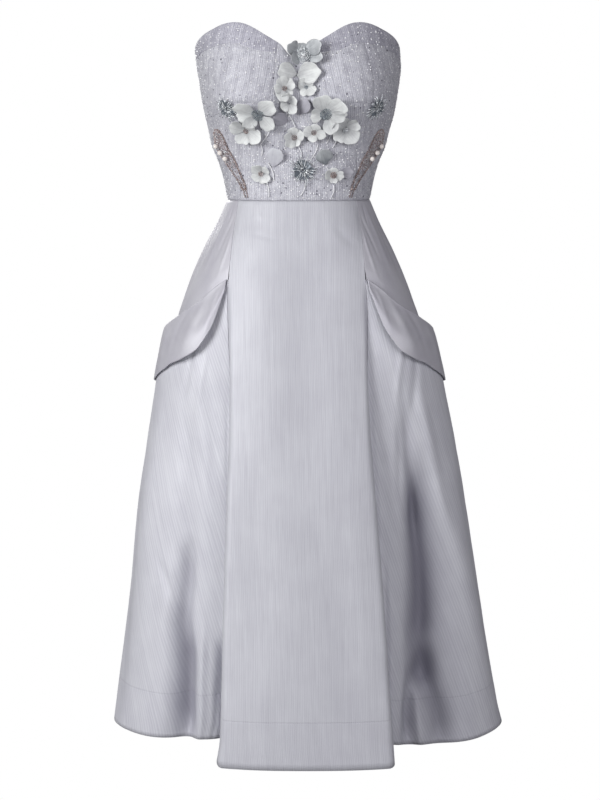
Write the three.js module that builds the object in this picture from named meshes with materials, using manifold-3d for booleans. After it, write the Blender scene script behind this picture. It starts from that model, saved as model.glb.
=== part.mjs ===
// A strapless, mid-calf dress in its worn shape, hollow, with no wearer.
// Millimetres, +Z up, the front faces -Y, +X is the viewer's right.
// The origin is the middle of the waist seam. Angles go round the body from the
// centre front (0 degrees) to the centre back (180), positive towards +X.
import * as THREE from 'three';
import { mergeVertices } from 'three/addons/utils/BufferGeometryUtils.js';
import Module from 'manifold-3d';

const wasm = await Module();
wasm.setup();

// Driving sizes
const SEAM_GAP = 0.3;
const BODICE_WALL = 2.0;
const SKIRT_WALL = 1.5;
const CUFF_WALL = 1.8;
const SIDE_SEAM_ANGLE = 105;
const FRONT_HEM_Z = -832;
const SIDE_HEM_Z = { left: -817, right: -824 };
const SIDE_HEM_DIP = { left: 4, right: 8 };
const BACK_HEM_Z = -820;
const POCKET_CORNER_Z = -117;
const POCKET_DEPTH = 140;
const POCKET_CLEARANCE = 1.9;
const CUP_SEAM_Z = 143;
const CUP_ANGLE = 37;
const CUP_SPREAD = 42;

// Colours and finishes
const FAILLE = { color: 0xc8c8d2, roughness: 0.42, metalness: 0.15 };
const SATIN = { color: 0xc4c2cd, roughness: 0.35, metalness: 0.15 };
const NET = { color: 0xb4b3bf, roughness: 0.6, metalness: 0.05 };
const PETAL_PALE = { color: 0xdfe3e0, roughness: 0.55, metalness: 0 };
const PETAL_LILAC = { color: 0xaaa7b8, roughness: 0.55, metalness: 0 };
const BEADS_GREY = { color: 0x7f8a90, roughness: 0.3, metalness: 0.6 };
const BEADS_COPPER = { color: 0x967a6c, roughness: 0.35, metalness: 0.5 };
const PEARL = { color: 0xf1ece6, roughness: 0.25, metalness: 0 };
const NICKEL = { color: 0xb9bac0, roughness: 0.3, metalness: 0.9 };

// Sections, from the waist up: half width, depth of the front and back from the axis,
// how far a cup stands out of the section, the section's squareness and its sideways drift
const BODICE_SECTIONS = curves(['z', 'wide', 'front', 'back', 'cup', 'square', 'drift'], [
  [0, 109.5, 92, 85, 0, 2.3, -2],
  [32, 115.5, 94, 87, 0, 2.3, -2],
  [57, 123, 96, 89, 1, 2.3, -2],
  [81, 133, 99, 92, 4, 2.3, -2],
  [105, 138.5, 103, 96, 10, 2.3, -1.5],
  [130, 145, 108, 100, 20, 2.3, -1],
  [154, 149.5, 112, 103, 27, 2.3, -1],
  [178, 153, 113, 105, 27, 2.3, -1],
  [202, 156, 112, 106, 22, 2.3, -2],
  [231, 156.5, 110, 107, 14, 2.3, -4],
  [262, 156, 108, 107, 8, 2.3, -4],
]);

// Sections, from the waist down, of the skirt without its front panel
const SKIRT_SECTIONS = curves(['z', 'wide', 'front', 'back', 'square', 'drift'], [
  [-832, 314, 141, 239, 2.5, 13],
  [-795, 307, 140, 237, 2.5, 10.5],
  [-632, 280, 137, 225, 2.5, 8],
  [-471, 257, 134, 213, 2.5, 3],
  [-392, 243.5, 132.5, 205, 2.45, 2],
  [-340, 232.5, 131.5, 198, 2.4, 1],
  [-300, 222, 130.5, 192, 2.4, 0],
  [-250, 207.5, 129, 183, 2.4, -1],
  [-203, 195, 128, 172, 2.35, -2],
  [-156, 178.3, 126.5, 158, 2.3, -3],
  [-125, 166.7, 124.5, 146, 2.3, -3],
  [-94, 153.6, 119, 132, 2.3, -3],
  [-63, 138.9, 111, 117, 2.3, -3],
  [-32, 122.7, 101, 100, 2.3, -2.5],
  [0, 109.5, 92, 85, 2.3, -2],
]);

// The front panel below the pocket corners: depth at its middle, the half width of the
// section that it is a part of, its folded edges, and how far the pleat's inner fold lies
// outwards of the edge
const FRONT_PANEL = curves(['z', 'depth', 'wide', 'left', 'right', 'return'], [
  [-832, 245, 290, -127, 143, -18],
  [-790, 238, 283, -121, 140, -18],
  [-615, 207, 252, -117, 129, -14],
  [-440, 179, 221, -112, 115.5, -9],
  [-275, 152, 193, -106, 102.5, -2],
  [-200, 139, 179.5, -105, 99, 2],
  [-150, 131, 171, -104, 96, 4.5],
  [-117, 123.3, 163.5, -102, 93, 5],
  [-60, 110, 137.3, -97, 89, 5],
  [0, 92, 109.5, -88, 80.5, 5],
]);

// How far the side front stands off the hip yoke at the pocket, down and across
const POCKET_FLARE = curves(['z', 'off'], [
  [-392, 0], [-340, 2], [-300, 5], [-250, 10.5], [-203, 13], [-150, 9], [-117, 5],
]);
const FLARE_ACROSS = curves(['along', 'share'], [
  [0, 0], [0.12, 0.5], [0.3, 1], [0.75, 1], [0.92, 0.4], [1, 0],
]);

// The pocket mouth from the front corner (0) to the side seam (1), and the cuff that hangs
// from it: its height and how far its lower edge stands off
const MOUTH = curves(['along', 'z', 'height', 'standoff'], [
  [0, -117, 6, 3],
  [0.032, -121, 20, 5.5],
  [0.066, -125, 39, 8.5],
  [0.1, -129.5, 56, 11],
  [0.14, -135.5, 67, 12.5],
  [0.21, -150, 74, 13],
  [0.3, -163, 74, 10],
  [0.4, -173, 73, 7],
  [0.5, -184, 74, 4],
  [0.7, -200, 77, 2.2],
  [1, -212, 80, 2.2],
]);

// The neckline round half the body, and the height of the band over the cup seam
const NECKLINE = curves(['angle', 'z', 'band'], [
  [0, 207, 14], [6, 214, 14], [12, 229, 15], [18, 237.5, 20], [23, 244, 25], [28, 251, 29],
  [33, 257, 31], [39, 261.5, 31], [44, 262.5, 31], [50, 260.5, 30], [58, 254, 28], [70, 244, 25],
  [88, 227.5, 20], [100, 220, 18], [120, 211, 18], [150, 203, 18], [180, 200, 18],
]);

// Upright seams of the bodice as angles, from the waist to the top
const GORE_SEAM = curves(['z', 'angle'], [[0, 34], [143, 20], [180, 16.5], [225, 14]]);
const FRONT_SEAM = curves(['z', 'angle'], [[0, 56], [70, 48], [143, 40], [260, 34]]);
const CUP_SEAM = curves(['z', 'angle'], [[0, 62], [70, 54], [143, 45], [260, 43]]);
const BAND_END = curves(['z', 'angle'], [[0, 86], [143, 86], [260, 86]]);

// Large soft folds of the skirt: where they are, how wide, and how deep at the hem
const FLUTES = [
  { angle: -58, spread: 5, deep: -9 },
  { angle: -67, spread: 5.5, deep: 6 },
  { angle: -88, spread: 8, deep: -4 },
  { angle: 54, spread: 5, deep: -9 },
  { angle: 67, spread: 6, deep: 6 },
  { angle: 90, spread: 8, deep: -4 },
  { angle: -128, spread: 7, deep: -8 },
  { angle: -142, spread: 7, deep: 6 },
  { angle: -160, spread: 7, deep: -7 },
  { angle: 124, spread: 7, deep: -7 },
  { angle: 140, spread: 7, deep: 6 },
  { angle: 158, spread: 7, deep: -8 },
];
const FLUTES_START_Z = -380;

const LEFT = -1;
const RIGHT = 1;
const sideName = (side) => (side === LEFT ? 'left' : 'right');
const tag = (side) => (side === LEFT ? 'l' : 'r');

// A table whose rows are joined by smooth curves: table(column, x) gives the value there
function curves(names, rows) {
  const xs = rows.map((row) => row[0]);
  const slopes = names.map((_, k) => rows.map((row, i) => {
    if (i === 0 || i === rows.length - 1) {
      const [a, b] = i === 0 ? [rows[0], rows[1]] : [rows[i - 1], rows[i]];
      return (b[k] - a[k]) / (b[0] - a[0]);
    }
    const before = (row[k] - rows[i - 1][k]) / (row[0] - rows[i - 1][0]);
    const after = (rows[i + 1][k] - row[k]) / (rows[i + 1][0] - row[0]);
    return before * after > 0 ? (2 * before * after) / (before + after) : 0;
  }));
  return (name, x) => {
    const k = names.indexOf(name);
    const at = Math.min(Math.max(x, xs[0]), xs[xs.length - 1]);
    let i = 0;
    while (i < xs.length - 2 && at > xs[i + 1]) {
      i += 1;
    }
    const step = xs[i + 1] - xs[i];
    const t = (at - xs[i]) / step;
    const curved = (2 * t ** 3 - 3 * t ** 2 + 1) * rows[i][k]
      + (t ** 3 - 2 * t ** 2 + t) * step * slopes[k][i]
      + (3 * t ** 2 - 2 * t ** 3) * rows[i + 1][k]
      + (t ** 3 - t ** 2) * step * slopes[k][i + 1];
    return curved + (x - at) * slopes[k][x < at ? 0 : rows.length - 1];
  };
}

const radians = (degrees) => (degrees * Math.PI) / 180;
const degrees = (angle) => (angle * 180) / Math.PI;
const mix = (a, b, t) => a + (b - a) * t;
const smooth = (t) => {
  const s = Math.min(Math.max(t, 0), 1);
  return s * s * (3 - 2 * s);
};

// The distance from the axis to a rounded section at an angle
function reach(angle, wide, deep, square) {
  const across = Math.abs(Math.sin(radians(angle)) / wide) ** square;
  const along = Math.abs(Math.cos(radians(angle)) / deep) ** square;
  return (across + along) ** (-1 / square);
}

function around(angle, distance, drift, z) {
  const a = radians(angle);
  return new THREE.Vector3(drift + distance * Math.sin(a), -distance * Math.cos(a), z);
}

function bodicePoint(angle, z) {
  const section = (name) => BODICE_SECTIONS(name, z);
  const deep = Math.abs(angle) < 90 ? section('front') : section('back');
  const off = Math.min(Math.abs(Math.abs(angle) - CUP_ANGLE) / CUP_SPREAD, 1);
  const cup = section('cup') * Math.cos((off * Math.PI) / 2) ** 2;
  const distance = reach(angle, section('wide'), deep, section('square')) + cup;
  return around(angle, distance, section('drift'), z);
}

function fluteDepth(angle, z) {
  const share = smooth((FLUTES_START_Z - z) / (FLUTES_START_Z - FRONT_HEM_Z));
  return FLUTES.reduce((sum, { angle: middle, spread, deep }) => (
    sum + deep * share * Math.exp(-(((angle - middle) / spread) ** 2))
  ), 0);
}

function skirtPoint(angle, z, off = 0) {
  const section = (name) => SKIRT_SECTIONS(name, z);
  const deep = Math.abs(angle) < 90 ? section('front') : section('back');
  const distance = reach(angle, section('wide'), deep, section('square')) + fluteDepth(angle, z);
  return around(angle, distance + off, section('drift'), z);
}

// The front panel's folded edge, and the pleat's inner fold, which is its seam to the side
const panelEdgeX = (side, z) => FRONT_PANEL(sideName(side), z);
const innerFoldX = (side, z) => panelEdgeX(side, z) + side * FRONT_PANEL('return', z);

function angleAtX(x, z) {
  const across = x - SKIRT_SECTIONS('drift', z);
  const square = SKIRT_SECTIONS('square', z);
  const share = Math.abs(across / SKIRT_SECTIONS('wide', z)) ** square;
  const depth = SKIRT_SECTIONS('front', z) * (1 - share) ** (1 / square);
  return degrees(Math.atan2(across, depth));
}

const foldAngle = (side, z) => angleAtX(innerFoldX(side, z), z);

function panelFace(x, z) {
  const square = SKIRT_SECTIONS('square', z);
  const across = Math.abs((x - SKIRT_SECTIONS('drift', z)) / FRONT_PANEL('wide', z)) ** square;
  return new THREE.Vector3(x, -FRONT_PANEL('depth', z) * (1 - across) ** (1 / square), z);
}

// A cloth wall. at(column, row) gives its outer face, with rows going down; cells says
// which squares of the grid it covers. Its edges are drawn in by half a seam gap, and the
// inner face lies level with the outer one, at the wall's thickness.
function clothWall({ at, columns, rows, thick, cells = () => true, flip = false }) {
  const sign = flip ? -1 : 1;
  const inside = (i, j) => i >= 0 && j >= 0 && i < columns && j < rows && cells(i, j);
  const index = new Map();
  const positions = [];
  const tangent = (i, j, di, dj) => {
    const step = 0.02;
    const low = at(Math.max(i - di * step, 0), Math.max(j - dj * step, 0));
    const high = at(Math.min(i + di * step, columns), Math.min(j + dj * step, rows));
    return high.sub(low).normalize();
  };
  const corner = (i, j) => {
    const key = i * (rows + 1) + j;
    if (!index.has(key)) {
      const across = tangent(i, j, 1, 0);
      const down = tangent(i, j, 0, 1);
      const out = new THREE.Vector3().crossVectors(down, across).multiplyScalar(sign);
      out.z = 0;
      out.normalize();
      const has = [inside(i - 1, j - 1), inside(i, j - 1), inside(i - 1, j), inside(i, j)];
      const missing = has.filter((x) => !x).length;
      const lacks = (a, b) => (missing === 1 ? !has[a] || !has[b] : !has[a] && !has[b]);
      const drawn = at(i, j);
      const draw = (direction, amount) => drawn.addScaledVector(direction, amount);
      const half = SEAM_GAP / 2;
      draw(across, half * (Number(lacks(0, 2)) - Number(lacks(1, 3))));
      draw(down, half * (Number(lacks(0, 1)) - Number(lacks(2, 3))));
      index.set(key, positions.length / 3);
      positions.push(...drawn.toArray());
      positions.push(...drawn.clone().addScaledVector(out, -thick).toArray());
    }
    return index.get(key);
  };
  const faces = [];
  const face = (a, b, c) => faces.push(...(flip ? [a, c, b] : [a, b, c]));
  for (let i = 0; i < columns; i += 1) {
    for (let j = 0; j < rows; j += 1) {
      if (inside(i, j)) {
        const [a, b, c, d] = [corner(i, j), corner(i + 1, j), corner(i + 1, j + 1), corner(i, j + 1)];
        face(a, d, c);
        face(a, c, b);
        face(a + 1, c + 1, d + 1);
        face(a + 1, b + 1, c + 1);
        const edges = [[a, d, i - 1, j], [d, c, i, j + 1], [c, b, i + 1, j], [b, a, i, j - 1]];
        for (const [p, q, ni, nj] of edges) {
          if (!inside(ni, nj)) {
            face(q, p, p + 1);
            face(q, p + 1, q + 1);
          }
        }
      }
    }
  }
  const geometry = new THREE.BufferGeometry();
  geometry.setAttribute('position', new THREE.Float32BufferAttribute(positions, 3));
  geometry.setIndex(faces);
  return geometry;
}

// A closed shell between two faces: pair(column, row) gives its outer and inner points
function shell(columns, rows, pair, flip = false) {
  const positions = [];
  for (let i = 0; i <= columns; i += 1) {
    for (let j = 0; j <= rows; j += 1) {
      positions.push(...pair(i, j).flatMap((point) => point.toArray()));
    }
  }
  const faces = [];
  const quad = (a, b, c, d) => faces.push(...(flip ? [a, c, b, a, d, c] : [a, b, c, a, c, d]));
  const outer = (i, j) => 2 * (i * (rows + 1) + j);
  const inner = (i, j) => outer(i, j) + 1;
  for (let i = 0; i < columns; i += 1) {
    for (let j = 0; j < rows; j += 1) {
      quad(outer(i, j), outer(i, j + 1), outer(i + 1, j + 1), outer(i + 1, j));
      quad(inner(i, j), inner(i + 1, j), inner(i + 1, j + 1), inner(i, j + 1));
    }
    quad(inner(i, 0), outer(i, 0), outer(i + 1, 0), inner(i + 1, 0));
    quad(outer(i, rows), inner(i, rows), inner(i + 1, rows), outer(i + 1, rows));
  }
  for (let j = 0; j < rows; j += 1) {
    quad(outer(0, j), inner(0, j), inner(0, j + 1), outer(0, j + 1));
    quad(outer(columns, j), outer(columns, j + 1), inner(columns, j + 1), inner(columns, j));
  }
  const geometry = new THREE.BufferGeometry();
  geometry.setAttribute('position', new THREE.Float32BufferAttribute(positions, 3));
  geometry.setIndex(faces);
  return geometry;
}

function piece(name, geometry, finish) {
  const mesh = new THREE.Mesh(geometry, new THREE.MeshStandardMaterial({
    ...finish, side: THREE.DoubleSide, flatShading: true,
  }));
  mesh.name = name;
  return mesh;
}

// Bodice: one net of columns and rows, whose lines are the seams
const BODICE_COLUMNS = [
  { seam: () => 0, parts: 2 },
  { seam: (z) => GORE_SEAM('angle', z), parts: 4 },
  { seam: (z) => FRONT_SEAM('angle', z), parts: 1 },
  { seam: (z) => CUP_SEAM('angle', z), parts: 5 },
  { seam: (z) => BAND_END('angle', z), parts: 2 },
  { seam: () => SIDE_SEAM_ANGLE, parts: 7 },
  { seam: () => 180, parts: 0 },
];
const [GORE, FRONT, CUP, BAND, SIDE, BACK] = BODICE_COLUMNS.slice(1).map((_, k) => (
  BODICE_COLUMNS.slice(0, k + 1).reduce((sum, { parts }) => sum + parts, 0)
));
const LOWER_ROWS = 8;
const CUP_ROWS = 5;
const BAND_ROWS = 2;
const CUP_ROW = BAND_ROWS + CUP_ROWS;
const BODICE_ROWS = CUP_ROW + LOWER_ROWS;

function columnAngle(column, z) {
  let left = column;
  let k = 0;
  while (k < BODICE_COLUMNS.length - 2 && left > BODICE_COLUMNS[k].parts) {
    left -= BODICE_COLUMNS[k].parts;
    k += 1;
  }
  const { seam, parts } = BODICE_COLUMNS[k];
  return mix(seam(z), BODICE_COLUMNS[k + 1].seam(z), left / parts);
}

// Rows go down from the neckline over the band's lower edge and the cup's to the waist
function rowHeight(row, angle) {
  const top = NECKLINE('z', angle);
  const band = top - NECKLINE('band', angle);
  if (row <= BAND_ROWS) {
    return mix(top, band, row / BAND_ROWS);
  }
  if (row <= CUP_ROW) {
    return mix(band, CUP_SEAM_Z, (row - BAND_ROWS) / CUP_ROWS);
  }
  return mix(CUP_SEAM_Z, 0, (row - CUP_ROW) / LOWER_ROWS);
}

function bodiceNet(side) {
  return (column, row) => {
    const middle = CUP_SEAM_Z;
    const rough = rowHeight(row, columnAngle(column, middle));
    const z = rowHeight(row, columnAngle(column, rough));
    const settled = rowHeight(row, columnAngle(column, z));
    return bodicePoint(side * columnAngle(column, settled), settled);
  };
}

function bodiceHalf(name, side, finish, cells) {
  const geometry = clothWall({
    at: bodiceNet(side), columns: BACK, rows: BODICE_ROWS, thick: BODICE_WALL, cells,
    flip: side === LEFT,
  });
  return piece(`${name}_${tag(side)}`, geometry, finish);
}

// A panel that crosses the centre front, with its columns counted from the middle
function bodiceMiddle(name, reachColumns, finish, cells) {
  const net = bodiceNet(RIGHT);
  const mirror = bodiceNet(LEFT);
  const geometry = clothWall({
    at: (column, row) => {
      const from = column - reachColumns;
      return from < 0 ? mirror(-from, row) : net(from, row);
    },
    columns: 2 * reachColumns, rows: BODICE_ROWS, thick: BODICE_WALL, cells,
  });
  return piece(name, geometry, finish);
}

function bodice() {
  const group = new THREE.Group();
  group.add(bodiceMiddle('bodice_front', FRONT, NET, (i, j) => j >= CUP_ROW));
  group.add(bodiceMiddle('bodice_gore', GORE, NET, (i, j) => j < CUP_ROW));
  for (const side of [LEFT, RIGHT]) {
    const between = (low, high) => (i) => i >= low && i < high;
    const cup = between(GORE, CUP);
    const band = between(GORE, BAND);
    group.add(bodiceHalf('cup_lower', side, NET, (i, j) => cup(i) && j >= BAND_ROWS && j < CUP_ROW));
    group.add(bodiceHalf('cup_band', side, NET, (i, j) => band(i) && j < BAND_ROWS));
    group.add(bodiceHalf('bodice_side', side, NET, (i, j) => (
      between(BAND, SIDE)(i)
      || (between(CUP, BAND)(i) && j >= BAND_ROWS)
      || (between(FRONT, CUP)(i) && j >= CUP_ROW)
    )));
    group.add(bodiceHalf('bodice_back', side, NET, (i) => i >= SIDE));
  }
  return group;
}

// Skirt
const YOKE_ROWS = 6;
const SKIRT_ROWS = 12;
const POCKET_ROWS = 5;
const FACE_PARTS = 5;
const FOLD_PARTS = 4;
const RETURN_PARTS = 2;
const HALF_PANEL = FACE_PARTS + FOLD_PARTS + RETURN_PARTS;
const FOLD_RADIUS = 12;
const FOLD_SHARE = 0.45;

const sideHem = (side) => SIDE_HEM_Z[sideName(side)];
const HEM_DIP_ENDS = 0.6;
const COLUMN_CROWDING = 1.3;

// One half of the front panel at a height, by column from the middle: its face, the soft
// fold at its edge and the pleat's return to the inner fold
function panelSection(side, column, z) {
  const edge = panelFace(panelEdgeX(side, z), z);
  const inner = skirtPoint(foldAngle(side, z), z);
  const length = edge.distanceTo(inner);
  const radius = Math.min(FOLD_RADIUS, FOLD_SHARE * length);
  const middleX = SKIRT_SECTIONS('drift', z);
  const faceEnd = panelFace(edge.x - side * radius, z);
  const returnStart = edge.clone().lerp(inner, radius / length);
  if (column <= FACE_PARTS) {
    return panelFace(mix(middleX, faceEnd.x, column / FACE_PARTS), z);
  }
  if (column <= FACE_PARTS + FOLD_PARTS) {
    const t = (column - FACE_PARTS) / FOLD_PARTS;
    const first = faceEnd.clone().lerp(edge, t);
    return first.lerp(edge.clone().lerp(returnStart, t), t);
  }
  const t = (column - FACE_PARTS - FOLD_PARTS) / RETURN_PARTS;
  return returnStart.lerp(inner, t);
}

function skirtFront() {
  const at = (column, row) => {
    const side = column < HALF_PANEL ? LEFT : RIGHT;
    const from = Math.abs(column - HALF_PANEL);
    const turned = smooth((from - FACE_PARTS) / (HALF_PANEL - FACE_PARTS));
    const hem = mix(FRONT_HEM_Z, sideHem(side), turned);
    const z = row <= YOKE_ROWS
      ? mix(0, POCKET_CORNER_Z, row / YOKE_ROWS)
      : mix(POCKET_CORNER_Z, hem, (row - YOKE_ROWS) / SKIRT_ROWS);
    return panelSection(side, from, z);
  };
  const geometry = clothWall({
    at, columns: 2 * HALF_PANEL, rows: YOKE_ROWS + SKIRT_ROWS, thick: SKIRT_WALL,
  });
  return piece('skirt_front', geometry, FAILLE);
}

const sideFrontAngle = (side, along, z) => (
  mix(foldAngle(side, z), side * SIDE_SEAM_ANGLE, along)
);

function flareOff(along, z) {
  const down = POCKET_FLARE('off', Math.min(z, POCKET_CORNER_Z));
  return Math.max(down * FLARE_ACROSS('share', along), 0);
}

const sideFrontPoint = (side, along, z) => (
  skirtPoint(sideFrontAngle(side, along, z), z, flareOff(along, z))
);

// The level direction straight out of the side front
function sideFrontOut(side, along, z) {
  const step = 0.005;
  const before = sideFrontPoint(side, Math.max(along - step, 0), z);
  const across = sideFrontPoint(side, Math.min(along + step, 1), z).sub(before);
  return new THREE.Vector3(across.y, -across.x, 0).multiplyScalar(side).normalize();
}

// Columns of the pieces round the pocket lie closer near its front corner
const SIDE_COLUMNS = 14;
const columnAlong = (column) => (column / SIDE_COLUMNS) ** COLUMN_CROWDING;

function sideHemAt(side, along) {
  const dip = SIDE_HEM_DIP[sideName(side)] * Math.sin(Math.PI * Math.min(along / HEM_DIP_ENDS, 1));
  return mix(sideHem(side), BACK_HEM_Z, smooth(along)) - dip;
}

function skirtSide(side) {
  const at = (column, row) => {
    const along = columnAlong(column);
    const z = mix(MOUTH('z', along), sideHemAt(side, along), row / SKIRT_ROWS);
    return sideFrontPoint(side, along, z);
  };
  const geometry = clothWall({
    at, columns: SIDE_COLUMNS, rows: SKIRT_ROWS, thick: SKIRT_WALL, flip: side === LEFT,
  });
  return piece(`skirt_side_${tag(side)}`, geometry, FAILLE);
}

// The hip yoke, which goes on below the mouth as the back of the pocket
const POCKET_ENDS = { front: 0.015, back: 0.985 };

function skirtHip(side) {
  const at = (column, row) => {
    const along = columnAlong(column);
    const mouth = MOUTH('z', along);
    const below = Math.max(row - YOKE_ROWS, 0) / POCKET_ROWS;
    const z = row <= YOKE_ROWS
      ? mix(0, mouth, row / YOKE_ROWS)
      : mix(mouth, mouth - POCKET_DEPTH, below);
    const tucked = smooth(row - YOKE_ROWS + 1);
    const within = Math.min(Math.max(along, POCKET_ENDS.front), POCKET_ENDS.back);
    const placed = mix(along, within, tucked);
    return skirtPoint(sideFrontAngle(side, placed, z), z, -POCKET_CLEARANCE * tucked);
  };
  const geometry = clothWall({
    at, columns: SIDE_COLUMNS, rows: YOKE_ROWS + POCKET_ROWS, thick: SKIRT_WALL,
    flip: side === LEFT,
  });
  return piece(`skirt_hip_${tag(side)}`, geometry, SATIN);
}

const BACK_COLUMNS = 9;

function skirtBack(side) {
  const at = (column, row) => {
    const angle = side * mix(SIDE_SEAM_ANGLE, 180, column / BACK_COLUMNS);
    const mouthEnd = MOUTH('z', 1);
    const z = row <= YOKE_ROWS
      ? mix(0, mouthEnd, row / YOKE_ROWS)
      : mix(mouthEnd, BACK_HEM_Z, (row - YOKE_ROWS) / SKIRT_ROWS);
    return skirtPoint(angle, z);
  };
  const geometry = clothWall({
    at, columns: BACK_COLUMNS, rows: YOKE_ROWS + SKIRT_ROWS, thick: SKIRT_WALL,
    flip: side === LEFT,
  });
  return piece(`skirt_back_${tag(side)}`, geometry, FAILLE);
}

// The cuff turns over the side front's top edge: a short inner leg, the rounded top and
// the outer leg. Each station gives the inner face's and outer face's distance off the
// side front's outer face and height over its edge; the outer leg's are worked out.
const CUFF_ENDS = { front: 0.02, back: 0.995 };
const CUFF_INNER_LEG = 4;
const CUFF_LEG_SHARE = 0.6;
const CUFF_TUCK = { end: 1.4, bend: 1.1, top: 0.7 };
const STANDOFF_REACHED = 1.2;
const CUFF_TOP_GAP = 0.45;
const CUFF_LEG_GAP = 0.9;
const ROOM_FOR_HOOK = 2.8;
const ROOM_FOR_LEG = 5.5;
const LEG_STATIONS = [0.12, 0.4, 0.7, 1];

function cuffProfile(along, z) {
  const gap = CUFF_TOP_GAP;
  const back = -SKIRT_WALL - CUFF_LEG_GAP;
  const height = MOUTH('height', along);
  const standoff = MOUTH('standoff', along);
  const leg = Math.min(CUFF_INNER_LEG, height * CUFF_LEG_SHARE);
  const off = flareOff(along, z);
  const room = smooth((off - ROOM_FOR_HOOK) / CUFF_WALL);
  const drop = smooth((off - ROOM_FOR_LEG) / CUFF_WALL);
  const tuck = (edge, inside) => mix(-edge, inside, room);
  const stations = [
    {
      inner: [tuck(CUFF_TUCK.end, back), mix(gap, -leg, drop)],
      outer: [tuck(CUFF_TUCK.end, back - CUFF_WALL), mix(gap + CUFF_WALL, -leg, drop)],
    },
    {
      inner: [tuck(CUFF_TUCK.bend, back), gap],
      outer: [tuck(CUFF_TUCK.bend, back - CUFF_WALL), mix(gap + CUFF_WALL, gap, drop)],
    },
    { inner: [-CUFF_TUCK.top, gap], outer: [-CUFF_TUCK.top, gap + CUFF_WALL] },
    { inner: [gap, gap], outer: [gap + CUFF_WALL, gap + CUFF_WALL / 2] },
  ];
  for (const share of LEG_STATIONS) {
    const clear = CUFF_LEG_GAP + (standoff - CUFF_LEG_GAP) * smooth(share * STANDOFF_REACHED);
    stations.push({ inner: [clear, -height * share], outer: [clear + CUFF_WALL, -height * share] });
  }
  return stations;
}

function pocketCuff(side) {
  const pair = (column, station) => {
    const { front, back } = CUFF_ENDS;
    const along = Math.min(Math.max(columnAlong(column), front), back);
    const z = MOUTH('z', along);
    const { inner, outer } = cuffProfile(along, z)[station];
    return [outer, inner].map(([off, up]) => {
      const level = z + Math.min(up, 0);
      const place = sideFrontPoint(side, along, level);
      return place.addScaledVector(sideFrontOut(side, along, level), off).setZ(z + up);
    });
  };
  const geometry = shell(SIDE_COLUMNS, LEG_STATIONS.length + 3, pair, side === LEFT);
  return piece(`pocket_cuff_${tag(side)}`, geometry, SATIN);
}

function skirt() {
  const group = new THREE.Group();
  group.add(skirtFront());
  for (const side of [LEFT, RIGHT]) {
    group.add(skirtHip(side), skirtSide(side), pocketCuff(side), skirtBack(side));
  }
  return group;
}

// Sewn on the bodice. lift is how far a piece's underside stands off the cloth.
const FLOWERS = [
  { name: 'bloom_top', angle: 4.2, z: 216, radius: 23, lobes: 5, lift: 2.9, finish: BEADS_GREY },
  { name: 'petal_top_l', angle: -9.3, z: 189.2, radius: 15, lobes: 2, lift: 0.8, finish: PETAL_PALE },
  { name: 'petal_top_r', angle: 9.3, z: 187, radius: 15, lobes: 2, lift: 0.8, finish: PETAL_PALE },
  { name: 'bloom_neck_l', angle: -11, z: 164, radius: 11, lobes: 5, lift: 0.8, finish: PETAL_PALE },
  { name: 'bloom_neck_r', angle: 5, z: 166, radius: 10, lobes: 5, lift: 0.8, finish: PETAL_PALE },
  { name: 'bloom_mid', angle: -8, z: 144, radius: 10, lobes: 5, lift: 0.8, finish: PETAL_PALE },
  { name: 'bloom_large_l', angle: -27.4, z: 128, radius: 18, lobes: 5, lift: 0.8, finish: PETAL_PALE },
  { name: 'bloom_large_r', angle: 19, z: 129, radius: 20, lobes: 5, lift: 0.8, finish: PETAL_PALE },
  { name: 'bloom_side_l', angle: -38, z: 103, radius: 12, lobes: 5, lift: 0.8, finish: PETAL_PALE },
  { name: 'bloom_side_r', angle: 33.5, z: 106, radius: 14, lobes: 5, lift: 0.8, finish: PETAL_PALE },
  { name: 'bloom_small_l', angle: -4, z: 93, radius: 11, lobes: 5, lift: 0.8, finish: PETAL_PALE },
  { name: 'bloom_small_r', angle: 12.5, z: 101, radius: 10, lobes: 5, lift: 0.8, finish: PETAL_PALE },
  { name: 'petal_mid_r', angle: 3.5, z: 136, radius: 9, lobes: 2, lift: 0.8, finish: PETAL_LILAC },
  { name: 'petal_mid_l', angle: -14, z: 120, radius: 10, lobes: 2, lift: 0.8, finish: PETAL_LILAC },
  { name: 'petal_low_l', angle: -20, z: 64, radius: 14, lobes: 2, lift: 0.8, finish: PETAL_LILAC },
  { name: 'petal_low_r', angle: 22, z: 66, radius: 13, lobes: 2, lift: 0.4, finish: PETAL_LILAC },
  { name: 'bloom_low_l', angle: -33, z: 39, radius: 11, lobes: 5, lift: 0.8, finish: PETAL_PALE },
  { name: 'bloom_low_r', angle: 30, z: 37, radius: 10, lobes: 5, lift: 0.8, finish: PETAL_PALE },
  { name: 'petal_low_side', angle: 44, z: 42, radius: 10, lobes: 2, lift: 0.8, finish: PETAL_LILAC },
  { name: 'bead_burst_l', angle: -45, z: 137, radius: 11, lobes: 8, lift: 0.8, finish: BEADS_GREY },
  { name: 'bead_burst_r', angle: 49, z: 138, radius: 11, lobes: 8, lift: 0.4, finish: BEADS_GREY },
  { name: 'bead_burst_mid', angle: 4, z: 46, radius: 14, lobes: 8, lift: 0.8, finish: BEADS_GREY },
];
const PETAL_THICK = 1.2;
const LOBE_DEPTH = { flower: 0.68, petal: 0.72 };
const LEAST_SPOKES = 12;
const SEAT_SHARE = 0.55;
const BUD_HEIGHT = 3;
const CUPPING = 0.16;
const PETAL_RINGS = [
  { share: 0.28, up: 0.75 }, { share: 0.55, up: 0.25 }, { share: 1, up: 1 },
];

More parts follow.
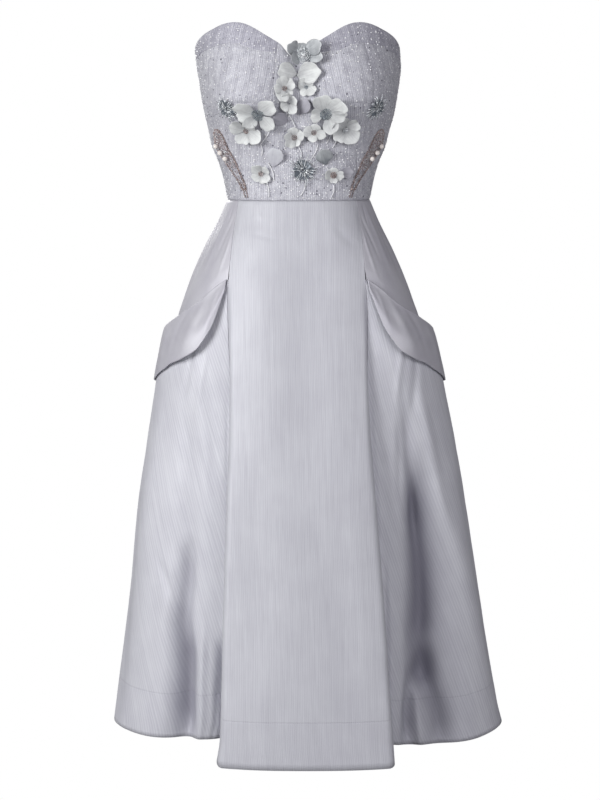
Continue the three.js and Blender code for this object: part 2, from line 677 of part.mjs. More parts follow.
// Beaded drops from the side of each cup to the waist: middle line and half width
const DROP_SPINE = curves(['along', 'angle', 'z', 'half'], [
  [0, 64, 106, 4], [0.1, 64.5, 99, 10], [0.28, 64.8, 83, 13.5], [0.5, 61, 62, 12.5],
  [0.72, 55.2, 41, 7.2], [0.88, 51, 26, 4.2], [1, 49, 16, 2.6],
]);
const DROP_ROWS = 9;
const DROP_COLUMNS = 3;
const DROP_HEIGHT = { seat: 0.7, edge: 1.4, middle: 2.4 };
const PEARL_RADIUS = 3.4;
const PEARL_SIDES = { round: 8, up: 6 };
const PEARLS = [
  { angle: 66.4, z: 82 }, { angle: 63.9, z: 73 }, { angle: 60.6, z: 64 },
];

// A frame on the bodice's outer face: a point, and unit vectors round, up and out
function seatOn(angle, z) {
  const step = 0.5;
  const point = bodicePoint(angle, z);
  const round = bodicePoint(angle + step, z).sub(bodicePoint(angle - step, z));
  const up = bodicePoint(angle, z + step).sub(bodicePoint(angle, z - step));
  return {
    point,
    perDegree: round.length() / (2 * step),
    perHeight: up.length() / (2 * step),
    out: new THREE.Vector3().crossVectors(round, up).normalize(),
  };
}

// The place that lies so far round and up from a seat, and so far out from the cloth
function overCloth(angle, z, round, up, off) {
  const { perDegree, perHeight } = seatOn(angle, z);
  const { point, out } = seatOn(angle + round / perDegree, z + up / perHeight);
  return point.addScaledVector(out, off);
}

function flower({ name, angle, z, radius, lobes, lift, finish }) {
  const spokes = Math.max(lobes * 3, LEAST_SPOKES);
  const outline = (turn) => {
    const wave = Math.abs(Math.cos((lobes * turn) / 2));
    return radius * (lobes > 2 ? mix(LOBE_DEPTH.flower, 1, wave) : mix(LOBE_DEPTH.petal, 1, wave ** 2));
  };
  const positions = overCloth(angle, z, 0, 0, lift + PETAL_THICK + BUD_HEIGHT).toArray();
  const ring = (share, off) => {
    for (let k = 0; k < spokes; k += 1) {
      const turn = (2 * Math.PI * k) / spokes;
      const out = outline(turn) * share;
      positions.push(...overCloth(angle, z, out * Math.sin(turn), out * Math.cos(turn), off).toArray());
    }
  };
  const cupped = CUPPING * radius;
  for (const { share, up } of PETAL_RINGS) {
    ring(share, lift + PETAL_THICK + cupped * up);
  }
  ring(1, lift + cupped);
  ring(SEAT_SHARE, lift);
  positions.push(...overCloth(angle, z, 0, 0, lift).toArray());
  const faces = [];
  const rings = PETAL_RINGS.length + 2;
  const at = (r, k) => 1 + r * spokes + (k % spokes);
  const last = 1 + rings * spokes;
  for (let k = 0; k < spokes; k += 1) {
    faces.push(0, at(0, k + 1), at(0, k), last, at(rings - 1, k), at(rings - 1, k + 1));
    for (let r = 0; r < rings - 1; r += 1) {
      faces.push(at(r, k), at(r, k + 1), at(r + 1, k + 1), at(r, k), at(r + 1, k + 1), at(r + 1, k));
    }
  }
  const geometry = new THREE.BufferGeometry();
  geometry.setAttribute('position', new THREE.Float32BufferAttribute(positions, 3));
  geometry.setIndex(faces);
  return piece(name, geometry, finish);
}

function beadedDrop(side) {
  const pair = (column, row) => {
    const along = row / DROP_ROWS;
    const half = DROP_SPINE('half', along);
    const across = mix(-half, half, column / DROP_COLUMNS);
    const edge = column === 0 || column === DROP_COLUMNS;
    const tip = row === 0 || row === DROP_ROWS;
    const height = edge || tip ? DROP_HEIGHT.edge : DROP_HEIGHT.middle;
    const spine = [side * DROP_SPINE('angle', along), DROP_SPINE('z', along)];
    return [height, DROP_HEIGHT.seat].map((off) => overCloth(...spine, side * across, 0, off));
  };
  const geometry = shell(DROP_COLUMNS, DROP_ROWS, pair, side === LEFT);
  return piece(`beaded_drop_${tag(side)}`, geometry, BEADS_COPPER);
}

function pearl(side, { angle, z }, number) {
  const ball = new THREE.SphereGeometry(PEARL_RADIUS, PEARL_SIDES.round, PEARL_SIDES.up);
  const mesh = piece(`pearl_${tag(side)}_${number + 1}`, ball, PEARL);
  const off = DROP_HEIGHT.middle + SEAM_GAP + PEARL_RADIUS;
  mesh.position.copy(overCloth(side * angle, z, 0, 0, off));
  return mesh;
}

function trimmings() {
  const group = new THREE.Group();
  group.add(...FLOWERS.map(flower));
  for (const side of [LEFT, RIGHT]) {
    group.add(beadedDrop(side), ...PEARLS.map((place, k) => pearl(side, place, k)));
  }
  return group;
}

// The zip's slider stands at the top of the centre back seam, with a bail that holds the
// pull tab. The tab's crossbar turns in the bail about a level line.
const SLIDER = { wide: 6, tall: 12, thick: 1.4, top: 193 };
const BAIL = { wide: 2, tall: 8, deep: 4.2, hole: 1.45, axis: 1.9, root: 0.4, shoulder: 2.5, sides: 8 };
const PULL = {
  long: 24, top: 7, tip: 5, thick: 1.2, bar: 0.7, window: 1.9, windowTall: 6, waist: 14.4, corner: 1.5,
};
const ZIP_AXIS_Z = SLIDER.top - 5.5;

function solid(geometry) {
  const bare = geometry.clone();
  bare.deleteAttribute('normal');
  bare.deleteAttribute('uv');
  const merged = mergeVertices(bare);
  return new wasm.Manifold(new wasm.Mesh({
    numProp: 3,
    vertProperties: new Float32Array(merged.attributes.position.array),
    triVerts: new Uint32Array(merged.index.array),
  }));
}

function geometryOf(manifold) {
  const { vertProperties, triVerts } = manifold.getMesh();
  const geometry = new THREE.BufferGeometry();
  geometry.setAttribute('position', new THREE.Float32BufferAttribute(vertProperties, 3));
  geometry.setIndex(Array.from(triVerts));
  return geometry;
}

function outlineShape(points, holes = []) {
  const shape = new THREE.Shape(points.map(([x, y]) => new THREE.Vector2(x, y)));
  shape.holes = holes.map((hole) => new THREE.Path(hole.map(([x, y]) => new THREE.Vector2(x, y))));
  return shape;
}

function zip() {
  const group = new THREE.Group();
  const face = bodicePoint(180, SLIDER.top).y + SEAM_GAP;
  const plateOut = face + SLIDER.thick;
  const axisY = plateOut + BAIL.axis;
  const plate = new THREE.BoxGeometry(SLIDER.wide, SLIDER.thick, SLIDER.tall);
  plate.translate(0, face + SLIDER.thick / 2, SLIDER.top - SLIDER.tall / 2);
  const { tall, deep, hole, root, shoulder, sides } = BAIL;
  const bailShape = outlineShape([
    [-root, -tall / 2], [shoulder, -tall / 2], [deep, -tall / 4], [deep, tall / 4],
    [shoulder, tall / 2], [-root, tall / 2],
  ], [
    [...Array(sides).keys()].map((k) => [
      BAIL.axis + hole * Math.cos((2 * k * Math.PI) / sides), hole * Math.sin((2 * k * Math.PI) / sides),
    ]),
  ]);
  const bail = new THREE.ExtrudeGeometry(bailShape, { depth: BAIL.wide, bevelEnabled: false });
  bail.translate(0, 0, -BAIL.wide / 2);
  bail.applyMatrix4(new THREE.Matrix4().set(0, 0, 1, 0, 1, 0, 0, 0, 0, 1, 0, 0, 0, 0, 0, 1));
  bail.translate(0, plateOut, ZIP_AXIS_Z);
  group.add(piece('zip_slider', geometryOf(solid(plate).add(solid(bail))), NICKEL));
  const { long, top, tip, thick, bar, window, windowTall, waist, corner } = PULL;
  const pullShape = outlineShape([
    [-top / 2, bar], [-top / 2, -windowTall - bar], [-tip / 2, -waist], [-tip / 2, -long + corner],
    [-tip / 3, -long], [tip / 3, -long], [tip / 2, -long + corner], [tip / 2, -waist],
    [top / 2, -windowTall - bar], [top / 2, bar],
  ], [[[-window, -bar], [window, -bar], [window, -windowTall], [-window, -windowTall]]]);
  const pull = new THREE.ExtrudeGeometry(pullShape, { depth: thick, bevelEnabled: false });
  pull.translate(0, 0, -thick / 2);
  pull.rotateX(Math.PI / 2);
  pull.translate(0, axisY, ZIP_AXIS_Z);
  group.add(piece('zip_pull', pull, NICKEL));
  return group;
}

const dress = new THREE.Group();
dress.add(bodice(), skirt(), trimmings(), zip());

export default dress;
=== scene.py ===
import math
import random

import bpy
from mathutils import Matrix, Vector, noise


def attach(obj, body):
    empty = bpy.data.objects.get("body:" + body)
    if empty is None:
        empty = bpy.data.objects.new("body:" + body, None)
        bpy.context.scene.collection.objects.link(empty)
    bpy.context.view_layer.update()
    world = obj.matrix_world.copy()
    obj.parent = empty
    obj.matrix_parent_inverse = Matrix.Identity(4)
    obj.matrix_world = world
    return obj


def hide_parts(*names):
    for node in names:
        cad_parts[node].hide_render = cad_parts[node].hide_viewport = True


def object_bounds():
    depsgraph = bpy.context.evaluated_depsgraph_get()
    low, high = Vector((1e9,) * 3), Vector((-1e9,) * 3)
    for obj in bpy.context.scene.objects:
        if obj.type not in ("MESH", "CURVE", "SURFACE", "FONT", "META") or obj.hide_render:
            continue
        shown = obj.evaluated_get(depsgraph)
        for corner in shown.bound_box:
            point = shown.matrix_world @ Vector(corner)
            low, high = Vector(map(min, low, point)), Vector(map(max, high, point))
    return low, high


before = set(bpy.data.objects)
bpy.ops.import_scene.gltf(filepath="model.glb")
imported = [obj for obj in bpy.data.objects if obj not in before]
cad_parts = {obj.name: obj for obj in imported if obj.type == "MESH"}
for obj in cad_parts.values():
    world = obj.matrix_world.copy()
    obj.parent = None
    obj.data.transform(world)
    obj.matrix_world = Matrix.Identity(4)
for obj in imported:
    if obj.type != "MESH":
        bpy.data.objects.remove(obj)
cad_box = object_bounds()
bpy.ops.object.select_all(action="DESELECT")

# A strapless dress in its worn shape. The tables and forms are in millimetres; meshes
# are in metres. Angles go round the body from the centre front (0) to the back (180).
MM = 0.001
LEFT = -1
RIGHT = 1
SIDES = ((LEFT, "l"), (RIGHT, "r"))

BODICE_WALL = 2.0
SKIRT_WALL = 1.5
CUFF_WALL = 1.8
SEAM_GAP = 0.08
SEAM_DIP = 0.55
BODICE_SEAM_DIP = 0.7
BODICE_SEAM_GAP = 0.2
SIDE_SEAM_ANGLE = 105
FRONT_HEM_Z = -832
SIDE_HEM_Z = {LEFT: -817, RIGHT: -824}
SIDE_HEM_DIP = {LEFT: 4, RIGHT: 8}
BACK_HEM_Z = -820
POCKET_CORNER_Z = -117
POCKET_DEPTH = 140
POCKET_CLEARANCE = 1.9
CUP_SEAM_Z = 143
CUP_ANGLE = 37
CUP_SPREAD = 42
FLUTES_START_Z = -380
HEM_TURN_UP = 70

CAMERA_PLACE = (0.0, -3.0, 0.077)
CAMERA_TILT = 82.6
CAMERA_LENS = 87.07
SENSOR = 36.0


class Table:
    """Rows of sizes, joined by smooth curves that never overshoot."""

    def __init__(self, names, rows):
        self.column = {name: k for k, name in enumerate(names)}
        self.rows = rows
        self.starts = [row[0] for row in rows]
        self.slopes = [[self.slope(i, k) for k in range(len(names))] for i in range(len(rows))]

    def slope(self, i, k):
        rows = self.rows
        if i in (0, len(rows) - 1):
            a, b = (rows[0], rows[1]) if i == 0 else (rows[i - 1], rows[i])
            return (b[k] - a[k]) / (b[0] - a[0])
        before = (rows[i][k] - rows[i - 1][k]) / (rows[i][0] - rows[i - 1][0])
        after = (rows[i + 1][k] - rows[i][k]) / (rows[i + 1][0] - rows[i][0])
        return 2 * before * after / (before + after) if before * after > 0 else 0.0

    def at(self, name, x):
        k = self.column[name]
        starts = self.starts
        inside = min(max(x, starts[0]), starts[-1])
        i = 0
        while i < len(starts) - 2 and inside > starts[i + 1]:
            i += 1
        step = starts[i + 1] - starts[i]
        t = (inside - starts[i]) / step
        t2 = t * t
        t3 = t2 * t
        curved = (2 * t3 - 3 * t2 + 1) * self.rows[i][k] + (t3 - 2 * t2 + t) * step * self.slopes[i][k]
        curved += (3 * t2 - 2 * t3) * self.rows[i + 1][k] + (t3 - t2) * step * self.slopes[i + 1][k]
        end = 0 if x < inside else len(starts) - 1
        return curved + (x - inside) * self.slopes[end][k]


# Half width, front and back depth, how far a cup stands out, squareness, sideways drift
BODICE_SECTIONS = Table(["z", "wide", "front", "back", "cup", "square", "drift"], [
    [0, 109.5, 92, 85, 0, 2.3, -2],
    [32, 115.5, 94, 87, 0, 2.3, -2],
    [57, 123, 96, 89, 1, 2.3, -2],
    [81, 133, 99, 92, 4, 2.3, -2],
    [105, 138.5, 103, 96, 10, 2.3, -1.5],
    [130, 145, 108, 100, 20, 2.3, -1],
    [154, 149.5, 112, 103, 27, 2.3, -1],
    [178, 153, 113, 105, 27, 2.3, -1],
    [202, 156, 112, 106, 22, 2.3, -2],
    [231, 156.5, 110, 107, 14, 2.3, -4],
    [262, 156, 108, 107, 8, 2.3, -4],
])
SKIRT_SECTIONS = Table(["z", "wide", "front", "back", "square", "drift"], [
    [-832, 314, 141, 239, 2.5, 13],
    [-795, 307, 140, 237, 2.5, 10.5],
    [-632, 280, 137, 225, 2.5, 8],
    [-471, 257, 134, 213, 2.5, 3],
    [-392, 243.5, 132.5, 205, 2.45, 2],
    [-340, 232.5, 131.5, 198, 2.4, 1],
    [-300, 222, 130.5, 192, 2.4, 0],
    [-250, 207.5, 129, 183, 2.4, -1],
    [-203, 195, 128, 172, 2.35, -2],
    [-156, 178.3, 126.5, 158, 2.3, -3],
    [-125, 166.7, 124.5, 146, 2.3, -3],
    [-94, 153.6, 119, 132, 2.3, -3],
    [-63, 138.9, 111, 117, 2.3, -3],
    [-32, 122.7, 101, 100, 2.3, -2.5],
    [0, 109.5, 92, 85, 2.3, -2],
])
# The front panel: depth, half width of its section, folded edges, and the pleat's return
FRONT_PANEL = Table(["z", "depth", "wide", LEFT, RIGHT, "return"], [
    [-832, 245, 290, -127, 143, -18],
    [-790, 238, 283, -121, 140, -18],
    [-615, 207, 252, -117, 129, -14],
    [-440, 179, 221, -112, 115.5, -9],
    [-275, 152, 193, -106, 102.5, -2],
    [-200, 139, 179.5, -105, 99, 2],
    [-150, 131, 171, -104, 96, 4.5],
    [-117, 123.3, 163.5, -102, 93, 5],
    [-60, 110, 137.3, -97, 89, 5],
    [0, 92, 109.5, -88, 80.5, 5],
])
POCKET_FLARE = Table(["z", "off"], [
    [-392, 0], [-340, 2], [-300, 5], [-250, 10.5], [-203, 13], [-150, 9], [-117, 5],
])
FLARE_ACROSS = Table(["along", "share"], [
    [0, 0], [0.12, 0.5], [0.3, 1], [0.75, 1], [0.92, 0.4], [1, 0],
])
# The pocket mouth from its front corner to the side seam, and the cuff that hangs from it
MOUTH = Table(["along", "z", "height", "standoff"], [
    [0, -117, 6, 3],
    [0.032, -121, 20, 5.5],
    [0.066, -125, 39, 8.5],
    [0.1, -129.5, 56, 11],
    [0.14, -135.5, 67, 12.5],
    [0.21, -150, 74, 13],
    [0.3, -163, 74, 10],
    [0.4, -173, 73, 7],
    [0.5, -184, 74, 4],
    [0.7, -200, 77, 2.2],
    [1, -212, 80, 2.2],
])
NECKLINE = Table(["angle", "z", "band"], [
    [0, 207, 14], [6, 214, 14], [12, 229, 15], [18, 237.5, 20], [23, 244, 25], [28, 251, 29],
    [33, 257, 31], [39, 261.5, 31], [44, 262.5, 31], [50, 260.5, 30], [58, 254, 28], [70, 244, 25],
    [88, 227.5, 20], [100, 220, 18], [120, 211, 18], [150, 203, 18], [180, 200, 18],
])
GORE_SEAM = Table(["z", "angle"], [[0, 34], [143, 20], [180, 16.5], [225, 14]])
FRONT_SEAM = Table(["z", "angle"], [[0, 56], [70, 48], [143, 40], [260, 34]])
CUP_SEAM = Table(["z", "angle"], [[0, 62], [70, 54], [143, 45], [260, 43]])
BAND_END_ANGLE = 86
FLUTES = [
    (-58, 5, -9), (-67, 5.5, 6), (-88, 8, -4), (54, 5, -9), (67, 6, 6), (90, 8, -4),
    (-128, 7, -8), (-142, 7, 6), (-160, 7, -7), (124, 7, -7), (140, 7, 6), (158, 7, -8),
]


def mix(a, b, t):
    return a + (b - a) * t


def clamp(x, low=0.0, high=1.0):
    return min(max(x, low), high)


def smooth(t):
    s = clamp(t)
    return s * s * (3 - 2 * s)


def reach(angle, wide, deep, square):
    """The distance from the axis to a rounded section at an angle."""
    a = math.radians(angle)
    across = abs(math.sin(a) / wide) ** square
    along = abs(math.cos(a) / deep) ** square
    return (across + along) ** (-1 / square)


def around(angle, distance, drift, z):
    a = math.radians(angle)
    return Vector((drift + distance * math.sin(a), -distance * math.cos(a), z))


def bodice_point(angle, z, off=0.0):
    size = BODICE_SECTIONS.at
    deep = size("front", z) if abs(angle) < 90 else size("back", z)
    away = min(abs(abs(angle) - CUP_ANGLE) / CUP_SPREAD, 1)
    cup = size("cup", z) * math.cos(away * math.pi / 2) ** 2
    distance = reach(angle, size("wide", z), deep, size("square", z)) + cup
    return around(angle, distance + off, size("drift", z), z)


def flute_depth(angle, z):
    share = smooth((FLUTES_START_Z - z) / (FLUTES_START_Z - FRONT_HEM_Z))
    if share == 0:
        return 0.0
    return sum(deep * share * math.exp(-(((angle - middle) / spread) ** 2))
               for middle, spread, deep in FLUTES)


def skirt_point(angle, z, off=0.0):
    size = SKIRT_SECTIONS.at
    deep = size("front", z) if abs(angle) < 90 else size("back", z)
    distance = reach(angle, size("wide", z), deep, size("square", z)) + flute_depth(angle, z)
    return around(angle, distance + off, size("drift", z), z)


def fold_angle(side, z):
    """Where the pleat's inner fold meets the side front."""
    size = SKIRT_SECTIONS.at
    across = FRONT_PANEL.at(side, z) + side * FRONT_PANEL.at("return", z) - size("drift", z)
    share = abs(across / size("wide", z)) ** size("square", z)
    depth = size("front", z) * (1 - share) ** (1 / size("square", z))
    return math.degrees(math.atan2(across, depth))


def panel_face(x, z):
    square = SKIRT_SECTIONS.at("square", z)
    across = abs((x - SKIRT_SECTIONS.at("drift", z)) / FRONT_PANEL.at("wide", z)) ** square
    return Vector((x, -FRONT_PANEL.at("depth", z) * (1 - across) ** (1 / square), z))


# Bodice net: columns go round from the centre front, rows go down from the neckline. Each
# seam is a table or an angle, with the number of columns up to the next seam.
BODICE_SEAMS = [
    (0.0, 2), (GORE_SEAM, 4), (FRONT_SEAM, 1), (CUP_SEAM, 5), (BAND_END_ANGLE, 2),
    (SIDE_SEAM_ANGLE, 7), (180.0, 0),
]
GORE, FRONT, CUP, BAND, SIDE, BACK = 2, 6, 7, 12, 14, 21
BAND_ROWS = 2
CUP_ROW = 7
BODICE_ROWS = 15


def seam_angle(k, z):
    seam = BODICE_SEAMS[k][0]
    return seam.at("angle", z) if isinstance(seam, Table) else seam


def column_angle(column, z):
    left = column
    k = 0
    while k < len(BODICE_SEAMS) - 2 and left > BODICE_SEAMS[k][1]:
        left -= BODICE_SEAMS[k][1]
        k += 1
    return mix(seam_angle(k, z), seam_angle(k + 1, z), left / BODICE_SEAMS[k][1])


def row_height(row, angle):
    top = NECKLINE.at("z", angle)
    band = top - NECKLINE.at("band", angle)
    if row <= BAND_ROWS:
        return mix(top, band, row / BAND_ROWS)
    if row <= CUP_ROW:
        return mix(band, CUP_SEAM_Z, (row - BAND_ROWS) / (CUP_ROW - BAND_ROWS))
    return mix(CUP_SEAM_Z, 0, (row - CUP_ROW) / (BODICE_ROWS - CUP_ROW))


def bodice_at(side):
    def at(column, row):
        reachable = abs(column)
        turn = side if column >= 0 else -side
        rough = row_height(row, column_angle(reachable, CUP_SEAM_Z))
        z = row_height(row, column_angle(reachable, rough))
        settled = row_height(row, column_angle(reachable, z))
        return bodice_point(turn * column_angle(reachable, settled), settled)
    return at


# Skirt forms
YOKE_ROWS = 6
SKIRT_ROWS = 12
POCKET_ROWS = 5
FACE_PARTS, FOLD_PARTS, RETURN_PARTS = 5, 4, 2
HALF_PANEL = FACE_PARTS + FOLD_PARTS + RETURN_PARTS
FOLD_RADIUS = 12
FOLD_SHARE = 0.45
SIDE_COLUMNS = 14
BACK_COLUMNS = 9
POCKET_ENDS = (0.015, 0.985)
CROWDING = 1.3
HEM_DIP_ENDS = 0.6
SLOPE_STEP = 0.005


def panel_section(side, column, z):
    edge = panel_face(FRONT_PANEL.at(side, z), z)
    inner = skirt_point(fold_angle(side, z), z)
    length = (edge - inner).length
    radius = min(FOLD_RADIUS, FOLD_SHARE * length)
    face_end = panel_face(edge.x - side * radius, z)
    return_start = edge.lerp(inner, radius / length)
    if column <= FACE_PARTS:
        return panel_face(mix(SKIRT_SECTIONS.at("drift", z), face_end.x, column / FACE_PARTS), z)
    if column <= FACE_PARTS + FOLD_PARTS:
        t = (column - FACE_PARTS) / FOLD_PARTS
        return face_end.lerp(edge, t).lerp(edge.lerp(return_start, t), t)
    return return_start.lerp(inner, (column - FACE_PARTS - FOLD_PARTS) / RETURN_PARTS)


def skirt_front_at(column, row):
    side = LEFT if column < HALF_PANEL else RIGHT
    away = abs(column - HALF_PANEL)
    turned = smooth((away - FACE_PARTS) / (HALF_PANEL - FACE_PARTS))
    hem = mix(FRONT_HEM_Z, SIDE_HEM_Z[side], turned)
    if row <= YOKE_ROWS:
        z = mix(0, POCKET_CORNER_Z, row / YOKE_ROWS)
    else:
        z = mix(POCKET_CORNER_Z, hem, (row - YOKE_ROWS) / SKIRT_ROWS)
    return panel_section(side, away, z)


def side_front_angle(side, along, z):
    return mix(fold_angle(side, z), side * SIDE_SEAM_ANGLE, along)


def flare_off(along, z):
    down = POCKET_FLARE.at("off", min(z, POCKET_CORNER_Z))
    return max(down * FLARE_ACROSS.at("share", along), 0)


def side_front_point(side, along, z):
    return skirt_point(side_front_angle(side, along, z), z, flare_off(along, z))


def side_front_out(side, along, z):
    before = side_front_point(side, max(along - SLOPE_STEP, 0), z)
    across = side_front_point(side, min(along + SLOPE_STEP, 1), z) - before
    return (Vector((across.y, -across.x, 0)) * side).normalized()


def column_along(column, ends=(0.0, 1.0)):
    """Columns lie closer near the pocket's corner; a piece may end short of both seams."""
    along = (column / SIDE_COLUMNS) ** CROWDING
    if column < 1:
        return mix(ends[0], SIDE_COLUMNS ** -CROWDING, column) if ends[0] > 0 else along
    last = SIDE_COLUMNS - 1
    if column > last and ends[1] < 1:
        return mix((last / SIDE_COLUMNS) ** CROWDING, ends[1], column - last)
    return along


def side_hem(side, along):
    dip = SIDE_HEM_DIP[side] * math.sin(math.pi * min(along / HEM_DIP_ENDS, 1))
    return mix(SIDE_HEM_Z[side], BACK_HEM_Z, smooth(along)) - dip


def skirt_side_at(side):
    def at(column, row):
        along = column_along(column)
        z = mix(MOUTH.at("z", along), side_hem(side, along), row / SKIRT_ROWS)
        return side_front_point(side, along, z)
    return at


def skirt_hip_at(side):
    def at(column, row):
        along = column_along(column)
        mouth = MOUTH.at("z", along)
        if row <= YOKE_ROWS:
            z = mix(0, mouth, row / YOKE_ROWS)
        else:
            z = mouth - POCKET_DEPTH * (row - YOKE_ROWS) / POCKET_ROWS
        tucked = smooth(row - YOKE_ROWS + 1)
        placed = mix(along, column_along(column, POCKET_ENDS), tucked)
        return skirt_point(side_front_angle(side, placed, z), z, -POCKET_CLEARANCE * tucked)
    return at


def skirt_back_at(side):
    def at(column, row):
        angle = side * mix(SIDE_SEAM_ANGLE, 180, column / BACK_COLUMNS)
        end = MOUTH.at("z", 1)
        if row <= YOKE_ROWS:
            return skirt_point(angle, mix(0, end, row / YOKE_ROWS))
        return skirt_point(angle, mix(end, BACK_HEM_Z, (row - YOKE_ROWS) / SKIRT_ROWS))
    return at


# The cuff: a short leg inside the mouth, the turned top and the outer leg, as the places
# of its middle layer off the side front and over the mouth's edge
CUFF_ENDS = (0.02, 0.995)
CUFF_ROWS = 8
CUFF_INNER_LEG = 4
CUFF_TOP_GAP = 0.45
CUFF_LEG_GAP = 0.9
ROOM_FOR_HOOK = 2.8
ROOM_FOR_LEG = 5.5
INNER_LEG_SHARE = 0.6
HOOK_OFFS = (-1.4, -1.1, -0.7)
TOP_SHARES = (0.7, 0.6)
OUTER_LEG_SHARES = (0.12, 0.4, 0.7, 1)
STANDOFF_RATE = 1.2


def cuff_line(along, z):
    half = CUFF_WALL / 2
    top = CUFF_TOP_GAP + half
    back = -SKIRT_WALL - CUFF_LEG_GAP - half
    height = MOUTH.at("height", along)
    standoff = MOUTH.at("standoff", along)
    leg = min(CUFF_INNER_LEG, height * INNER_LEG_SHARE)
    off = flare_off(along, z)
    room = smooth((off - ROOM_FOR_HOOK) / CUFF_WALL)
    drop = smooth((off - ROOM_FOR_LEG) / CUFF_WALL)
    line = [
        (mix(HOOK_OFFS[0], back, room), mix(top, -leg, drop)),
        (mix(HOOK_OFFS[1], back, room), mix(top, CUFF_TOP_GAP / 2, drop)),
        (HOOK_OFFS[2], top),
        (CUFF_TOP_GAP + half * TOP_SHARES[0], CUFF_TOP_GAP + half * TOP_SHARES[1]),
    ]
    for share in OUTER_LEG_SHARES:
        clear = CUFF_LEG_GAP + (standoff - CUFF_LEG_GAP) * smooth(share * STANDOFF_RATE)
        line.append((clear + half, -height * share))
    return line


def curve(before, start, end, after, t):
    """A smooth line from start to end that heads for the points around them."""
    bend = 2 * before - 5 * start + 4 * end - after + t * (3 * (start - end) + after - before)
    return start + 0.5 * t * (end - before + t * bend)


def cuff_at(side):
    def at(column, row):
        along = column_along(column, CUFF_ENDS)
        z = MOUTH.at("z", along)
        line = cuff_line(along, z)
        last = len(line) - 1
        k = min(int(row), last - 1)
        corners = zip(line[max(k - 1, 0)], line[k], line[k + 1], line[min(k + 2, last)])
        off, up = (curve(*places, row - k) for places in corners)
        level = z + min(up, 0)
        place = side_front_point(side, along, level) + side_front_out(side, along, level) * off
        return Vector((place.x, place.y, z + up))
    return at


# Creases listed for each panel: across and down at both ends as shares of the
# panel, then the width and depth in millimetres. A trough is negative, a ridge positive.
FRONT_CREASES = [
    (0.3, 0.02, 0.33, 0.2, 7, -0.7), (0.33, 0.01, 0.35, 0.08, 4, 0.8), (0.6, 0, 0.64, 0.16, 8, 0.7),
    (0.66, 0.12, 0.7, 0.19, 5, -0.8), (0.33, 0.14, 0.43, 0.17, 5, -0.6),
    (0.42, 0.3, 0.38, 0.62, 18, 1.6), (0.5, 0.24, 0.55, 0.58, 24, -2.2),
    (0.62, 0.34, 0.6, 0.72, 16, 1.8), (0.35, 0.55, 0.33, 0.86, 14, -1.4),
    (0.46, 0.62, 0.47, 0.93, 20, 1.8), (0.57, 0.66, 0.62, 0.97, 17, -1.9),
    (0.68, 0.6, 0.67, 0.9, 10, 1.4), (0.4, 0.44, 0.52, 0.47, 9, -0.5), (0.53, 0.93, 0.55, 1, 5, -0.9),
    (0.37, 0.9, 0.38, 1, 7, 0.9),
]
SIDE_CREASES = {
    LEFT: [
        (0.36, 0.56, 0.385, 0.74, 11, -10), (0.385, 0.74, 0.36, 1, 12, -20),
        (0.45, 0.6, 0.455, 1, 13, 4.5), (0.13, 0.8, 0.12, 1, 13, -12), (0.27, 0.76, 0.27, 1, 8, 4.5),
        (0.4, 0.26, 0.34, 0.56, 13, -2), (0.3, 0.12, 0.24, 0.52, 14, 1.8),
        (0.62, 0.25, 0.58, 0.8, 18, 2.4), (0.74, 0.4, 0.7, 0.96, 14, -2.8),
        (0.3, 0.06, 0.42, 0.2, 6, -1.6), (0.17, 0.88, 0.18, 1, 5, -2.4),
        (0.88, 0.3, 0.86, 0.9, 14, 1.6), (0.24, 0.14, 0.34, 0.26, 5, 0.9),
        (0.5, 0.58, 0.44, 0.66, 5, -1.8), (0.07, 0.3, 0.06, 0.7, 6, -1),
    ],
    RIGHT: [
        (0.35, 0.24, 0.39, 0.5, 13, -6), (0.405, 0.4, 0.35, 0.8, 20, -25),
        (0.36, 0.8, 0.24, 1, 15, -15), (0.385, 0.8, 0.41, 1, 14, -14), (0.32, 0.86, 0.33, 1, 7, 5),
        (0.25, 0.94, 0.25, 1, 4, 3), (0.46, 0.18, 0.54, 0.5, 12, 3.4), (0.6, 0.5, 0.66, 1, 16, 4),
        (0.47, 0.42, 0.46, 1, 24, -7), (0.3, 0.28, 0.28, 0.44, 8, -2.2),
        (0.34, 0.06, 0.28, 0.22, 7, 1.5), (0.44, 0.08, 0.4, 0.24, 8, -1.4),
        (0.13, 0.6, 0.1, 1, 7, -2.6), (0.72, 0.35, 0.74, 0.9, 14, -2.6),
        (0.86, 0.45, 0.88, 0.97, 12, -2), (0.1, 0.24, 0.12, 0.6, 8, 1.2),
    ],
}
HIP_CREASES = [
    (0.1, 0.12, 0.28, 0.3, 6, -0.9), (0.06, 0.22, 0.2, 0.44, 6, 0.8), (0.3, 0.05, 0.44, 0.34, 9, 0.9),
    (0.5, 0.1, 0.62, 0.4, 10, -1), (0.7, 0.05, 0.74, 0.38, 9, 0.7), (0.2, 0.02, 0.22, 0.14, 5, -0.7),
]
CUFF_CREASES = [
    (0.28, 0.55, 0.4, 0.95, 8, 1.2), (0.44, 0.52, 0.5, 0.9, 7, -1), (0.6, 0.55, 0.66, 0.98, 8, 1),
    (0.75, 0.52, 0.76, 0.85, 6, -0.8), (0.15, 0.6, 0.22, 0.95, 6, 0.6),
    (0.86, 0.55, 0.88, 0.98, 6, 0.7),
]
